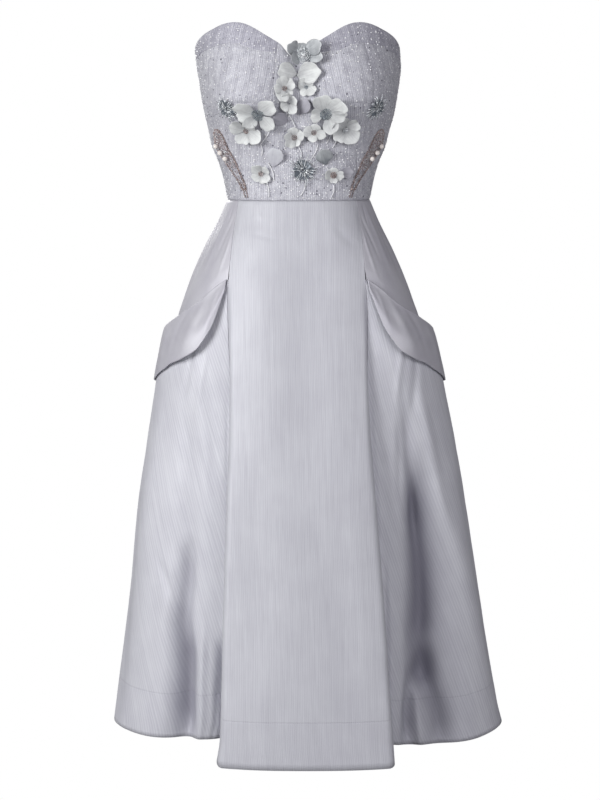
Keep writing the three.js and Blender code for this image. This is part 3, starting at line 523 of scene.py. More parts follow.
BACK_CREASES = {
    LEFT: [
        (0.18, 0.2, 0.14, 0.7, 16, 4.4), (0.3, 0.4, 0.28, 1, 14, -7.5),
        (0.46, 0.3, 0.48, 0.98, 18, 6.6), (0.62, 0.5, 0.6, 1, 12, -6.2),
        (0.78, 0.25, 0.8, 0.9, 14, 4.4), (0.9, 0.05, 0.84, 0.24, 6, -1), (0.4, 0.04, 0.34, 0.2, 8, 0.9),
        (0.7, 0.03, 0.66, 0.18, 7, -0.9), (0.9, 0.66, 0.92, 1, 8, -4.4),
    ],
    RIGHT: [
        (0.14, 0.26, 0.12, 0.82, 13, -4.8), (0.26, 0.3, 0.25, 1, 15, 6.6),
        (0.42, 0.45, 0.44, 1, 14, -7), (0.58, 0.28, 0.61, 0.95, 17, 5.7),
        (0.74, 0.4, 0.73, 1, 12, -5.7), (0.88, 0.06, 0.8, 0.26, 7, 1), (0.34, 0.03, 0.3, 0.19, 7, -0.8),
        (0.6, 0.02, 0.58, 0.15, 8, 0.8), (0.9, 0.55, 0.88, 0.98, 9, 4.2),
    ],
}
BODICE_CREASES = [
    (0.2, 0.8, 0.24, 1, 4, -0.5), (0.45, 0.86, 0.6, 0.92, 4, -0.4), (0.7, 0.76, 0.78, 1, 5, 0.5),
    (0.35, 0.7, 0.5, 0.74, 5, -0.4), (0.55, 0.55, 0.7, 0.6, 5, 0.4), (0.84, 0.84, 0.88, 1, 4, -0.4),
]
FADE_AT_SEAM = 22
# A trough this deep takes the full painted shade
FULL_PAINTED_SHADE_DEPTH = 24
UNEVEN_DEPTH = 0.35
UNEVEN_SIZE = 46
FINE_SHARE = 0.5
FINE_RATE = 2.3
CREASE_RUN_OUT = 0.25
CREASE_REACH = 3
CREASE_BOW = 0.12
BOW_RATE = 7
BOW_SHIFT = 40
FAR_FROM_HEM = 1000.0
NET_SMOOTH_ANGLE = 50


def crease_depth(creases, across, down, wide, long):
    depth = 0.0
    for a0, d0, a1, d1, spread, deep in creases:
        run = ((a1 - a0) * wide, (d1 - d0) * long)
        here = ((across - a0) * wide, (down - d0) * long)
        size = run[0] ** 2 + run[1] ** 2
        t = (run[0] * here[0] + run[1] * here[1]) / size
        if -CREASE_RUN_OUT < t < 1 + CREASE_RUN_OUT:
            bow = CREASE_BOW * spread * math.sin(BOW_RATE * t + a0 * BOW_SHIFT)
            off = (run[0] * here[1] - run[1] * here[0]) / math.sqrt(size) + bow
            if abs(off) < CREASE_REACH * spread:
                begins = smooth((t + CREASE_RUN_OUT) / (2 * CREASE_RUN_OUT))
                ends = smooth((1 + CREASE_RUN_OUT - t) / (2 * CREASE_RUN_OUT))
                depth += deep * (begins * ends) * math.exp(-((off / spread) ** 2))
    return depth


def select_only(*objects):
    bpy.ops.object.select_all(action="DESELECT")
    for each in objects:
        each.select_set(True)
    bpy.context.view_layer.objects.active = objects[0]


def modify(piece, kind, **settings):
    select_only(piece)
    modifier = piece.modifiers.new(kind.title(), kind)
    for key, value in settings.items():
        setattr(modifier, key, value)
    bpy.ops.object.modifier_apply(modifier=modifier.name)


def new_piece(name, vertices, faces, material):
    mesh = bpy.data.meshes.new(name)
    mesh.from_pydata([tuple(v * MM for v in vertex) for vertex in vertices], [], faces)
    mesh.polygons.foreach_set("use_smooth", [True] * len(faces))
    piece = bpy.data.objects.new(name, mesh)
    bpy.context.scene.collection.objects.link(piece)
    mesh.materials.append(material)
    return piece


def lengths_along(points):
    """How far each point of a line lies from its first one, along the line."""
    sums = [0.0]
    for start, end in zip(points, points[1:]):
        sums.append(sums[-1] + (end - start).length)
    return sums


def cloth_panel(name, at, span, fine, thick, creases, material, grain=0.0, cells=None, hem=False,
                turn=1, middle_layer=False, reference=0.0, dip=SEAM_DIP, gap=SEAM_GAP):
    """A panel of cloth over its own form, sewn at its edges, with creases and its maps."""
    first, last, top, bottom = span
    columns = (last - first) * fine
    rows = (bottom - top) * fine

    def has(i, j):
        inside = 0 <= i < columns and 0 <= j < rows
        return inside and (cells is None or cells(first + (i + 0.5) / fine, top + (j + 0.5) / fine))

    drawn = [[at(first + i / fine, top + j / fine) for j in range(rows + 1)] for i in range(columns + 1)]
    across_sums = [lengths_along([line[j] for line in drawn]) for j in range(rows + 1)]
    down_sums = [lengths_along(line[::-1])[::-1] for line in drawn]
    wide = across_sums[rows // 2][-1]
    long = lengths_along(drawn[columns // 2])[-1]
    anchor = round(reference * columns)
    index = {}
    faces = []
    for i in range(columns):
        for j in range(rows):
            if has(i, j):
                corners = [(i, j), (i, j + 1), (i + 1, j + 1), (i + 1, j)]
                loop = [index.setdefault(corner, len(index)) for corner in corners]
                faces.append(loop if turn > 0 else loop[::-1])
    placed = []
    weave = []
    folded = []
    for i, j in index:
        across = drawn[min(i + 1, columns)][j] - drawn[max(i - 1, 0)][j]
        down = drawn[i][min(j + 1, rows)] - drawn[i][max(j - 1, 0)]
        out = down.cross(across).normalized() * turn
        above = (has(i - 1, j - 1), has(i, j - 1))
        below = (has(i - 1, j), has(i, j))
        left_open = not (above[0] or below[0])
        right_open = not (above[1] or below[1])
        sewn = not all(above + below) and not (hem and not any(below))
        point = drawn[i][j].copy()
        point += across.normalized() * gap / 2 * (left_open - right_open)
        point += down.normalized() * gap / 2 * ((not any(above)) - (not any(below)))
        share_across = i / columns
        share_down = j / rows
        near = [share_across * wide, (1 - share_across) * wide, share_down * long]
        if not hem:
            near.append((1 - share_down) * long)
        fade = smooth(min(near) / FADE_AT_SEAM)
        fine_ripple = noise.noise(point * FINE_RATE / UNEVEN_SIZE)
        ripple = noise.noise(point / UNEVEN_SIZE) + FINE_SHARE * fine_ripple
        relief = crease_depth(creases, share_across, share_down, wide, long) + UNEVEN_DEPTH * ripple
        placed.append(point + out * (relief * fade - dip * sewn))
        # Painted shade: the deeper a trough, the larger its share of the fold's shade colour
        folded.append(clamp(-relief * fade / FULL_PAINTED_SHADE_DEPTH))
        weave.append((across_sums[j][i] - across_sums[j][anchor], down_sums[i][j]))
    piece = new_piece(name, placed, faces, material)
    cosine = math.cos(math.radians(grain))
    sine = math.sin(math.radians(grain))
    weave_map = piece.data.uv_layers.new(name="weave")
    hem_map = piece.data.uv_layers.new(name="hem")
    # The fold map carries the painted shade of the troughs
    painted_shade_map = piece.data.uv_layers.new(name="fold")
    for loop in piece.data.loops:
        u, v = weave[loop.vertex_index]
        weave_map.data[loop.index].uv = ((u * cosine - v * sine) * MM, (u * sine + v * cosine) * MM)
        hem_map.data[loop.index].uv = (u * MM, (v if hem else FAR_FROM_HEM) * MM)
        painted_shade_map.data[loop.index].uv = (folded[loop.vertex_index], 0.0)
    modify(piece, "SOLIDIFY", thickness=thick * MM, offset=0.0 if middle_layer else -1.0,
           use_even_offset=not middle_layer, use_quality_normals=True)
    if material in (NETTING, PAINTED_SHADE_BAND_NETTING):
        select_only(piece)
        bpy.ops.object.shade_smooth_by_angle(angle=math.radians(NET_SMOOTH_ANGLE))
    return piece


# Shader groups
class Wiring:
    """Adds nodes to a tree and joins them; a value is a socket or a plain number."""

    def __init__(self, tree):
        self.tree = tree

    def node(self, kind, **settings):
        node = self.tree.nodes.new(kind)
        for key, value in settings.items():
            setattr(node, key, value)
        return node

    def join(self, value, socket):
        if isinstance(value, bpy.types.NodeSocket):
            self.tree.links.new(value, socket)
        else:
            socket.default_value = value

    def fill(self, node, **values):
        """Gives a node's inputs their values by label, and returns its outputs."""
        for label, value in values.items():
            self.join(value, node.inputs[label.replace("_", " ")])
        return node.outputs

    def math(self, operation, *values, clamp_it=False):
        node = self.node("ShaderNodeMath", operation=operation, use_clamp=clamp_it)
        for value, socket in zip(values, node.inputs):
            self.join(value, socket)
        return node.outputs[0]

    def add(self, base, value, share):
        return self.math("ADD", base, self.math("MULTIPLY", value, share))

    def take(self, base, value, share, clamp_it=False):
        return self.math("SUBTRACT", base, self.math("MULTIPLY", value, share), clamp_it=clamp_it)

    def both(self, value, share, other, other_share):
        return self.add(self.math("MULTIPLY", value, share), other, other_share)

    def stretch(self, vector, sizes):
        node = self.node("ShaderNodeVectorMath", operation="MULTIPLY")
        self.join(vector, node.inputs[0])
        self.join(sizes, node.inputs[1])
        return node.outputs[0]

    def split(self, vector):
        return self.fill(self.node("ShaderNodeSeparateXYZ"), Vector=vector)

    def noise(self, vector, scale=1.0, detail=2.0, rough=0.5):
        node = self.node("ShaderNodeTexNoise")
        return self.fill(node, Vector=vector, Scale=scale, Detail=detail, Roughness=rough)["Fac"]

    def cells(self, vector, feature, scale):
        node = self.node("ShaderNodeTexVoronoi", feature=feature)
        return self.fill(node, Vector=vector, Scale=scale)["Distance"]

    def colours(self, mask, stops):
        node = self.node("ShaderNodeValToRGB")
        ramp = node.color_ramp
        while len(ramp.elements) < len(stops):
            ramp.elements.new(0.5)
        for element, (place, colour) in zip(ramp.elements, stops):
            element.position = place
            element.color = (*colour, 1.0)
        return self.fill(node, Fac=mask)["Color"]

    def span(self, value, low, high):
        return self.fill(self.node("ShaderNodeMapRange"), Value=value, To_Min=low, To_Max=high)["Result"]

    def map_place(self, name="weave"):
        return self.node("ShaderNodeUVMap", uv_map=name).outputs["UV"]

    def object_place(self):
        return self.node("ShaderNodeTexCoord").outputs["Object"]

    def group(self, tree, **values):
        return self.fill(self.node("ShaderNodeGroup", node_tree=tree), **values)

    def bump(self, shader, height, strength, distance):
        node = self.node("ShaderNodeBump")
        normal = self.fill(node, Height=height, Strength=strength, Distance=distance)["Normal"]
        self.join(normal, shader.inputs["Normal"])

    def white_to_camera(self, lit, white_node, output):
        """The camera sees plain white, and everything else what lights the dress."""
        self.fill(white_node, Color=WHITE, Strength=1.0)
        choice = self.node("ShaderNodeMixShader")
        seen = self.node("ShaderNodeLightPath").outputs["Is Camera Ray"]
        for value, socket in zip((seen, lit.outputs[0], white_node.outputs[0]), choice.inputs):
            self.join(value, socket)
        self.join(choice.outputs[0], output.inputs["Surface"])


def group_tree(name, inputs, outputs):
    """A node group: an input with no value takes a vector, everything else is a number."""
    tree = bpy.data.node_groups.new(name, "ShaderNodeTree")
    for label, value in inputs.items():
        kind = "NodeSocketVector" if value is None else "NodeSocketFloat"
        socket = tree.interface.new_socket(name=label, in_out="INPUT", socket_type=kind)
        if value is not None:
            socket.default_value = value
    for label in outputs:
        tree.interface.new_socket(name=label, in_out="OUTPUT", socket_type="NodeSocketFloat")
    w = Wiring(tree)
    return tree, w, w.node("NodeGroupInput").outputs, w.node("NodeGroupOutput")


WHITE = (1, 1, 1, 1)
# How often ribs, slubs and threads repeat in a metre, across the warp and along it
RIB_STRETCH = (1.0, 0.05, 1.0)
SLUB_RATE = (210.0, 7.0, 1.0)
THREAD_RATE = (520.0, 24.0, 1.0)
STITCH_HALF_WIDTH = 0.0016
STITCH_RATE = 2200.0


def faille_ribs_group():
    """Close ribs along the warp with thick and thin threads between them."""
    tree, w, given, result = group_tree("faille_ribs", {"Where": None, "Scale": 1.0}, ("Height", "Shade"))
    scaled = w.node("ShaderNodeVectorMath", operation="SCALE")
    w.join(given["Where"], scaled.inputs[0])
    where = w.fill(scaled, Scale=given["Scale"])[0]
    wave = w.node("ShaderNodeTexWave", wave_type="BANDS", bands_direction="X")
    rib = w.fill(wave, Vector=w.stretch(where, RIB_STRETCH), Scale=118.0, Distortion=3.4, Detail=1.0,
                 Detail_Scale=1.6)["Fac"]
    slub = w.noise(w.stretch(where, SLUB_RATE), detail=3.0, rough=0.6)
    thread = w.noise(w.stretch(where, THREAD_RATE), rough=0.6)
    threads = w.both(slub, 0.6, thread, 0.4)
    w.fill(result, Height=w.both(rib, 0.55, threads, 0.9), Shade=w.add(threads, rib, 0.26))
    return tree


def stitch_line_group():
    """A turned-up hem: a line of stitches at one height over the edge."""
    tree, w, given, result = group_tree("stitch_line", {"Above": 1.0, "Along": 0.0}, ("Line", "Turned"))
    off = w.math("ABSOLUTE", w.math("SUBTRACT", given["Above"], HEM_TURN_UP * MM))
    line = w.math("SUBTRACT", 1.0, w.math("DIVIDE", off, STITCH_HALF_WIDTH), clamp_it=True)
    stitches = w.math("SINE", w.math("MULTIPLY", given["Along"], STITCH_RATE))
    broken = w.math("ADD", w.math("MULTIPLY", stitches, 0.3), 0.7, clamp_it=True)
    w.fill(result, Line=w.math("MULTIPLY", line, broken),
           Turned=w.math("LESS_THAN", given["Above"], HEM_TURN_UP * MM))
    return tree


def soft_patches_group():
    """Broad, faint changes of colour and gloss, as on pressed satin."""
    tree, w, given, result = group_tree("soft_patches", {"Where": None}, ("Patches", "Grain"))
    w.fill(result, Patches=w.noise(given["Where"], scale=16.0, detail=3.0),
           Grain=w.noise(given["Where"], scale=900.0))
    return tree


def net_group():
    """Fine net over the satin: small cells, with specks where sequins catch the light."""
    tree, w, given, result = group_tree("net_cells", {"Where": None}, ("Height", "Specks", "Mottle"))
    where = given["Where"]
    near = w.take(1.0, w.cells(where, "F1", 150.0), 4.2, clamp_it=True)
    cords = w.take(1.0, w.cells(where, "DISTANCE_TO_EDGE", 420.0), 5.0, clamp_it=True)
    w.fill(result, Height=cords, Specks=w.math("POWER", near, 1.5),
           Mottle=w.noise(where, scale=70.0, detail=4.0, rough=0.65))
    return tree


RIBS = faille_ribs_group()
STITCHES = stitch_line_group()
PATCHES = soft_patches_group()
NET = net_group()


def start_material(name, **settings):
    material = bpy.data.materials.new(name)
    material.use_nodes = True
    wiring = Wiring(material.node_tree)
    shader = material.node_tree.nodes["Principled BSDF"]
    wiring.fill(shader, **settings)
    return material, wiring, shader


# The cloth's tones from its dark threads to its pale ones, and the painted shade deep in a fold
FAILLE_STOPS = (0.22, 0.50, 0.78)
FRONT_TONES = ((0.455, 0.45, 0.505), (0.60, 0.605, 0.65), (0.72, 0.73, 0.77))
# Painted light: the side panels' tones are lighter than the front's, standing in for their brighter sheen
PAINTED_LIGHT_SIDE_TONES = ((0.50, 0.495, 0.56), (0.68, 0.685, 0.735), (0.82, 0.83, 0.87))
# Painted shade: the colour of a deep fold, and how much of it the deepest troughs take
PAINTED_FOLD_SHADE_TONE = (0.20, 0.195, 0.25)
PAINTED_FOLD_SHADE_SHARE = 0.85
SATIN_TONES = [(0.25, (0.50, 0.49, 0.55)), (0.5, (0.60, 0.595, 0.64)), (0.75, (0.68, 0.68, 0.72))]
NET_STOPS = (0.26, 0.46, 0.66, 0.86)
BODICE_TONES = ((0.28, 0.275, 0.33), (0.51, 0.51, 0.565), (0.75, 0.755, 0.80), (0.98, 0.985, 0.99))
# Painted shade: the cup band's net is darker, as the band tilts up away from the light
PAINTED_SHADE_BAND_TONES = ((0.22, 0.215, 0.27), (0.41, 0.405, 0.47), (0.62, 0.62, 0.68), (0.98, 0.985, 0.99))
NICKEL_TONES = [(0.35, (0.40, 0.40, 0.41)), (0.65, (0.56, 0.56, 0.57))]
# Sockets of a mix node for colours: its share, both colours and the result
MIX_SHARE, MIX_FIRST, MIX_SECOND, MIX_RESULT = 0, 6, 7, 2


def faille_material(name, rib_scale, tones):
    material, w, shader = start_material(name, Metallic=0.08, Sheen_Weight=0.06,
                                         Sheen_Roughness=0.45, Specular_IOR_Level=0.35)
    where = w.map_place()
    ribs = w.group(RIBS, Where=where, Scale=rib_scale)
    patches = w.group(PATCHES, Where=where)
    hem = w.split(w.map_place("hem"))
    stitches = w.group(STITCHES, Above=hem["Y"], Along=hem["X"])
    uneven = w.math("MULTIPLY_ADD", patches["Patches"], 0.22, 0.07)
    turned = w.take(w.add(uneven, ribs["Shade"], 0.46), stitches["Turned"], 0.03)
    lined = w.take(turned, stitches["Line"], 0.16)
    # Painted shade: the fold map mixes the shade colour into the cloth in deep troughs
    shaded = w.node("ShaderNodeMix", data_type="RGBA")
    fold = w.split(w.map_place("fold"))["X"]
    w.join(w.math("MULTIPLY", fold, PAINTED_FOLD_SHADE_SHARE), shaded.inputs[MIX_SHARE])
    w.join(w.colours(lined, list(zip(FAILLE_STOPS, tones))), shaded.inputs[MIX_FIRST])
    w.join((*PAINTED_FOLD_SHADE_TONE, 1.0), shaded.inputs[MIX_SECOND])
    w.fill(shader, Base_Color=shaded.outputs[MIX_RESULT], Roughness=w.span(ribs["Shade"], 0.62, 0.46))
    w.bump(shader, w.take(ribs["Height"], stitches["Line"], 2.4), strength=0.30, distance=0.0005)
    return material


def satin_material():
    material, w, shader = start_material("silver_lilac_satin", Metallic=0.10, Sheen_Weight=0.05,
                                         Sheen_Roughness=0.4, Specular_IOR_Level=0.55)
    where = w.map_place()
    ribs = w.group(RIBS, Where=where, Scale=2.6)
    patches = w.group(PATCHES, Where=where)
    tone = w.both(ribs["Shade"], 0.18, patches["Patches"], 0.6)
    w.fill(shader, Base_Color=w.colours(tone, SATIN_TONES), Roughness=w.span(patches["Patches"], 0.44, 0.56))
    w.bump(shader, w.math("ADD", ribs["Height"], patches["Grain"]), strength=0.12, distance=0.0003)
    return material


def net_material(name, tones):
    material, w, shader = start_material(name, Metallic=0.12, Sheen_Weight=0.1,
                                         Sheen_Roughness=0.5, Specular_IOR_Level=0.5)
    where = w.map_place()
    net = w.group(NET, Where=where)
    ribs = w.group(RIBS, Where=where, Scale=0.9)
    tone = w.both(ribs["Shade"], 0.52, net["Mottle"], 0.42)
    specked = w.add(w.take(tone, net["Height"], 0.10), net["Specks"], 0.30)
    w.fill(shader, Base_Color=w.colours(specked, list(zip(NET_STOPS, tones))),
           Roughness=w.span(net["Specks"], 0.62, 0.30))
    w.bump(shader, w.both(net["Height"], 0.7, ribs["Height"], 0.3), strength=0.5, distance=0.0004)
    return material


def petal_material(name, dark, pale, metallic=0.0, rough=0.5):
    """Thick satin petals with painted shade towards the root, and faint veins along them."""
    material, w, shader = start_material(name, Metallic=metallic, Roughness=rough, Sheen_Weight=0.2,
                                         Sheen_Roughness=0.4)
    patches = w.group(PATCHES, Where=w.stretch(w.object_place(), (7.0, 7.0, 7.0)))["Patches"]
    place = w.map_place("petal")
    veins = w.noise(w.stretch(place, (9.0, 1.2, 1.0)), rough=0.6)
    # Painted shade: the colour darkens towards the petal's root
    painted_root_shade_tone = w.add(w.both(patches, 0.35, veins, 0.35), w.split(place)["Y"], 0.34)
    w.fill(shader, Base_Color=w.colours(painted_root_shade_tone, [(0.36, dark), (0.66, pale)]))
    w.bump(shader, w.math("ADD", patches, veins), strength=0.35, distance=0.0005)
    return material


def bead_material(name, dark, pale, metallic, rough):
    material, w, shader = start_material(name, Metallic=metallic, Roughness=rough, Coat_Weight=0.5,
                                         Coat_Roughness=0.12)
    where = w.object_place()
    change = w.noise(where, scale=700.0, detail=1.0)
    w.fill(shader, Base_Color=w.colours(change, [(0.38, dark), (0.62, pale)]))
    w.bump(shader, w.noise(where, scale=2500.0, detail=1.0), strength=0.15, distance=0.0002)
    return material


def nickel_material():
    material, w, shader = start_material("nickel_plate", Metallic=1.0, Specular_IOR_Level=0.5)
    worn = w.noise(w.stretch(w.object_place(), (900.0, 900.0, 120.0)), detail=3.0)
    w.fill(shader, Base_Color=w.colours(worn, NICKEL_TONES), Roughness=w.span(worn, 0.22, 0.42))
    w.bump(shader, worn, strength=0.2, distance=0.0001)
    return material


FAILLE = faille_material("silver_lilac_faille", 1.0, FRONT_TONES)
# Painted light: the side faille uses lighter tones; its ribs are also coarser
FAILLE_SIDE_PAINTED_LIGHT = faille_material("silver_lilac_faille_side_painted_light", 0.62, PAINTED_LIGHT_SIDE_TONES)
SATIN = satin_material()
NETTING = net_material("net_over_satin", BODICE_TONES)
# Painted shade: the cup band's net uses darker tones
PAINTED_SHADE_BAND_NETTING = net_material("net_over_band_painted_shade", PAINTED_SHADE_BAND_TONES)
PALE_PETAL = petal_material("pale_petal_satin", (0.42, 0.43, 0.44), (0.77, 0.79, 0.78))
LILAC_PETAL = petal_material("lilac_petal_satin", (0.29, 0.285, 0.33), (0.46, 0.455, 0.505))
FAINT_PETAL = petal_material("faint_petal_organza", (0.44, 0.44, 0.49), (0.62, 0.63, 0.67))
GREY_PETAL = petal_material("grey_petal_organza", (0.16, 0.175, 0.195), (0.44, 0.46, 0.475), 0.1, 0.4)
BURST_PETAL = petal_material("burst_petal_organza", (0.06, 0.075, 0.095), (0.19, 0.215, 0.245), 0.2, 0.35)
SILVER_BEADS = bead_material("silver_beads", (0.44, 0.48, 0.51), (0.95, 0.97, 0.98), 0.25, 0.2)
GREY_BEADS = bead_material("grey_beads_finish", (0.14, 0.18, 0.21), (0.44, 0.50, 0.53), 0.35, 0.25)
COPPER_BEADS = bead_material("copper_beads_finish", (0.17, 0.125, 0.12), (0.62, 0.50, 0.47), 0.3, 0.25)
MAUVE_BEADS = bead_material("mauve_beads_finish", (0.36, 0.30, 0.32), (0.84, 0.76, 0.77), 0.15, 0.25)
PEARL_FINISH = bead_material("pearl_finish", (0.86, 0.78, 0.72), (0.95, 0.92, 0.89), 0.0, 0.18)
SEQUIN_FINISH = bead_material("sequin_finish", (0.94, 0.95, 0.97), (0.99, 0.99, 1.0), 0.0, 0.2)
DARK_SEQUIN = bead_material("dark_sequin_finish", (0.14, 0.14, 0.18), (0.34, 0.35, 0.40), 0.4, 0.2)
NICKEL = nickel_material()


# Camera, light and floor
LIGHT_TARGET = (0, 0, -0.25)
# Name, place, size, watts, colour
LIGHTS = [
    ("key_light", (-1.95, -1.95, 0.6), 1.3, 62, (1.0, 1.0, 1.0)),
    ("fill_light", (1.15, -3.0, 0.75), 1.2, 22, (0.97, 0.96, 1.0)),
    ("side_light", (1.9, -1.6, 0.5), 1.0, 9, (0.98, 0.97, 1.0)),
    ("back_light", (-1.0, 2.7, 1.0), 1.2, 40, (1.0, 1.0, 1.0)),
]
ROOM_COLOUR = (0.86, 0.84, 0.90, 1)
ROOM_LIGHT = 0.13
FLOOR_SIZE = 30
FLOOR_TONES = [(0.3, (0.30, 0.30, 0.31)), (0.7, (0.34, 0.34, 0.34))]


def studio():
    bpy.ops.object.camera_add(location=CAMERA_PLACE, rotation=(math.radians(CAMERA_TILT), 0, 0))
    camera = bpy.context.object
    camera.data.lens = CAMERA_LENS
    camera.data.sensor_width = SENSOR
    camera.data.sensor_fit = "AUTO"
    camera.data.dof.use_dof = False
    bpy.context.scene.camera = camera
    for name, place, size, watts, colour in LIGHTS:
        bpy.ops.object.light_add(type="AREA", location=place)
        lamp = bpy.context.object
        lamp.name = name
        lamp.data.size = size
        lamp.data.energy = watts
        lamp.data.color = colour
        aim = Vector(LIGHT_TARGET) - Vector(place)
        lamp.rotation_euler = aim.to_track_quat("-Z", "Y").to_euler()
    world = bpy.data.worlds.new("studio_white")
    world.use_nodes = True
    bpy.context.scene.world = world
    w = Wiring(world.node_tree)
    soft = world.node_tree.nodes["Background"]
    w.fill(soft, Color=ROOM_COLOUR, Strength=ROOM_LIGHT)
    w.white_to_camera(soft, w.node("ShaderNodeBackground"), world.node_tree.nodes["World Output"])
    bpy.context.scene.view_settings.view_transform = "Standard"
    bpy.context.scene.view_settings.look = "None"
    bpy.ops.mesh.primitive_plane_add(size=FLOOR_SIZE, location=(0, 0, cad_box[0][2] - MM))
    floor = bpy.context.object
    floor.name = "studio_floor"
    material, w, shader = start_material("pale_floor", Roughness=0.9, Specular_IOR_Level=0.1)
    w.fill(shader, Base_Color=w.colours(w.noise(w.object_place(), scale=3.0), FLOOR_TONES))
    w.white_to_camera(shader, w.node("ShaderNodeEmission"), material.node_tree.nodes["Material Output"])
    floor.data.materials.append(material)


studio()


# Dress panels. A panel's columns and rows are split into this many strips each.
BODICE_FINE = 5
YOKE_FINE = 6
CUFF_FINE = 7
SKIRT_FINE = 8
SIDE_GRAIN = -18
BACK_GRAIN = 8
# Name, columns and rows of the net, flat size, area, cloth and creases
BODICE_MIDDLE = [
    ("bodice_front", (-FRONT, FRONT, CUP_ROW, BODICE_ROWS), (0.23, 0.145), 0.0275, NETTING, []),
    ("bodice_gore", (-GORE, GORE, 0, CUP_ROW), (0.095, 0.092), 0.006, NETTING, []),
]
BODICE_HALVES = [
    ("cup_lower", (GORE, CUP, BAND_ROWS, CUP_ROW), (0.09, 0.095), 0.006, NETTING, []),
    ("cup_band", (GORE, BAND, 0, BAND_ROWS), (0.185, 0.05), 0.005, PAINTED_SHADE_BAND_NETTING, []),
    ("bodice_side", (FRONT, SIDE, 0, BODICE_ROWS), (0.19, 0.235), 0.0317, NETTING, BODICE_CREASES),
    ("bodice_back", (SIDE, BACK, 0, BODICE_ROWS), (0.17, 0.22), 0.0315, NETTING, BODICE_CREASES),
]


def belongs(piece, node=None):
    """Puts a piece on the dress, and in place of a solid if there is one."""
    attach(piece, "dress")
    if node:
        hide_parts(node)


def sew(node, at, span, fine, wall, creases, cloth, flat, area, held, rests_on, **shape):
    """A panel of cloth in place of its solid."""
    piece = cloth_panel(f"{node}_cloth", at, span, fine, wall, creases, cloth, **shape)
    belongs(piece, node)


def sew_bodice(node, side, span, flat, area, cloth, creases, **shape):
    sew(node, bodice_at(side), span, BODICE_FINE, BODICE_WALL, creases, cloth, flat, area, "stretched",
        "skirt_front", dip=BODICE_SEAM_DIP, gap=BODICE_SEAM_GAP, **shape)


def side_cells(i, j):
    """The side body runs up beside the cup, so it lacks the cells of the cup's pieces."""
    return i > BAND or (i > CUP and j > BAND_ROWS) or (i > FRONT and j > CUP_ROW)


def bodice():
    for node, *sizes in BODICE_MIDDLE:
        sew_bodice(node, RIGHT, *sizes, reference=0.5)
    for side, tag in SIDES:
        for name, *sizes in BODICE_HALVES:
            cells = side_cells if name == "bodice_side" else None
            sew_bodice(f"{name}_{tag}", side, *sizes, cells=cells, turn=side)


def skirt():
    whole = YOKE_ROWS + SKIRT_ROWS
    sew("skirt_front", skirt_front_at, (0, 2 * HALF_PANEL, 0, whole), YOKE_FINE, SKIRT_WALL, FRONT_CREASES,
        FAILLE, (0.53, 0.85), 0.249, "hung", "bodice_front", hem=True, reference=0.5)
    for side, tag in SIDES:
        sew(f"skirt_hip_{tag}", skirt_hip_at(side), (0, SIDE_COLUMNS, 0, YOKE_ROWS + POCKET_ROWS), YOKE_FINE,
            SKIRT_WALL, HIP_CREASES, SATIN, (0.24, 0.36), 0.058, "hung", "bodice_front", turn=side)
        sew(f"skirt_side_{tag}", skirt_side_at(side), (0, SIDE_COLUMNS, 0, SKIRT_ROWS), SKIRT_FINE,
            SKIRT_WALL, SIDE_CREASES[side], FAILLE_SIDE_PAINTED_LIGHT, (0.36, 0.72), 0.187, "hung",
            f"skirt_hip_{tag}_cloth", grain=SIDE_GRAIN * side, hem=True, turn=side)
        sew(f"pocket_cuff_{tag}", cuff_at(side), (0, SIDE_COLUMNS, 0, CUFF_ROWS - 1), CUFF_FINE,
            CUFF_WALL, CUFF_CREASES, SATIN, (0.24, 0.12), 0.0215, "folded",
            f"skirt_side_{tag}_cloth", turn=side, middle_layer=True, hem=True)
        sew(f"skirt_back_{tag}", skirt_back_at(side), (0, BACK_COLUMNS, 0, whole), SKIRT_FINE,
            SKIRT_WALL, BACK_CREASES[side], FAILLE, (0.38, 0.84), 0.237, "hung",
            "bodice_front", grain=BACK_GRAIN * side, hem=True, turn=side, reference=1.0)


bodice()
skirt()


# Sewn-on flowers. A frame on the bodice: a point, and unit vectors round, up and out
SEAT_STEP = 0.5
PETAL_CELLS = (9, 8)
RIM_WAVES = (1.9, 1.4)
SEED_SHIFT = 3.7
ROOT_WIDTH = 0.40
WIDENING = 1.8
CUP_POWER = 1.5
RIM_HEIGHT = 0.30
RIM_WIDTH = 0.16
RIM_LENGTH = 0.12
PETAL_THICK = 0.9
PETAL_STEP = 0.8
LOWEST_PETAL = 0.3
OPEN_SHARE = 0.34
OPEN_RANGE = (0.55, 1.3)
SINGLE_OPEN = 0.35
CURL_RANGE = (0.0, 0.5)
ROLLS = (-0.32, 0.26, 0.38)
SEED_RANGE = (0, 20)
ROOT_PLACE = {"single": -0.5, "whole": 0.08}


def seat_on(angle, z):
    point = bodice_point(angle, z)
    across = bodice_point(angle + SEAT_STEP, z) - bodice_point(angle - SEAT_STEP, z)
    up = bodice_point(angle, z + SEAT_STEP) - bodice_point(angle, z - SEAT_STEP)
    out = across.cross(up).normalized()
    return point, across / (2 * SEAT_STEP), up / (2 * SEAT_STEP), out


def seat_near(angle, z, across, up):
    """The frame at some millimetres round and up from a place on the bodice."""
    _, per_degree, per_height, _ = seat_on(angle, z)
    return seat_on(angle + across / per_degree.length, z + up / per_height.length)


def over_cloth(angle, z, across, up, off):
    point, _, _, out = seat_near(angle, z, across, up)
    return point + out * off


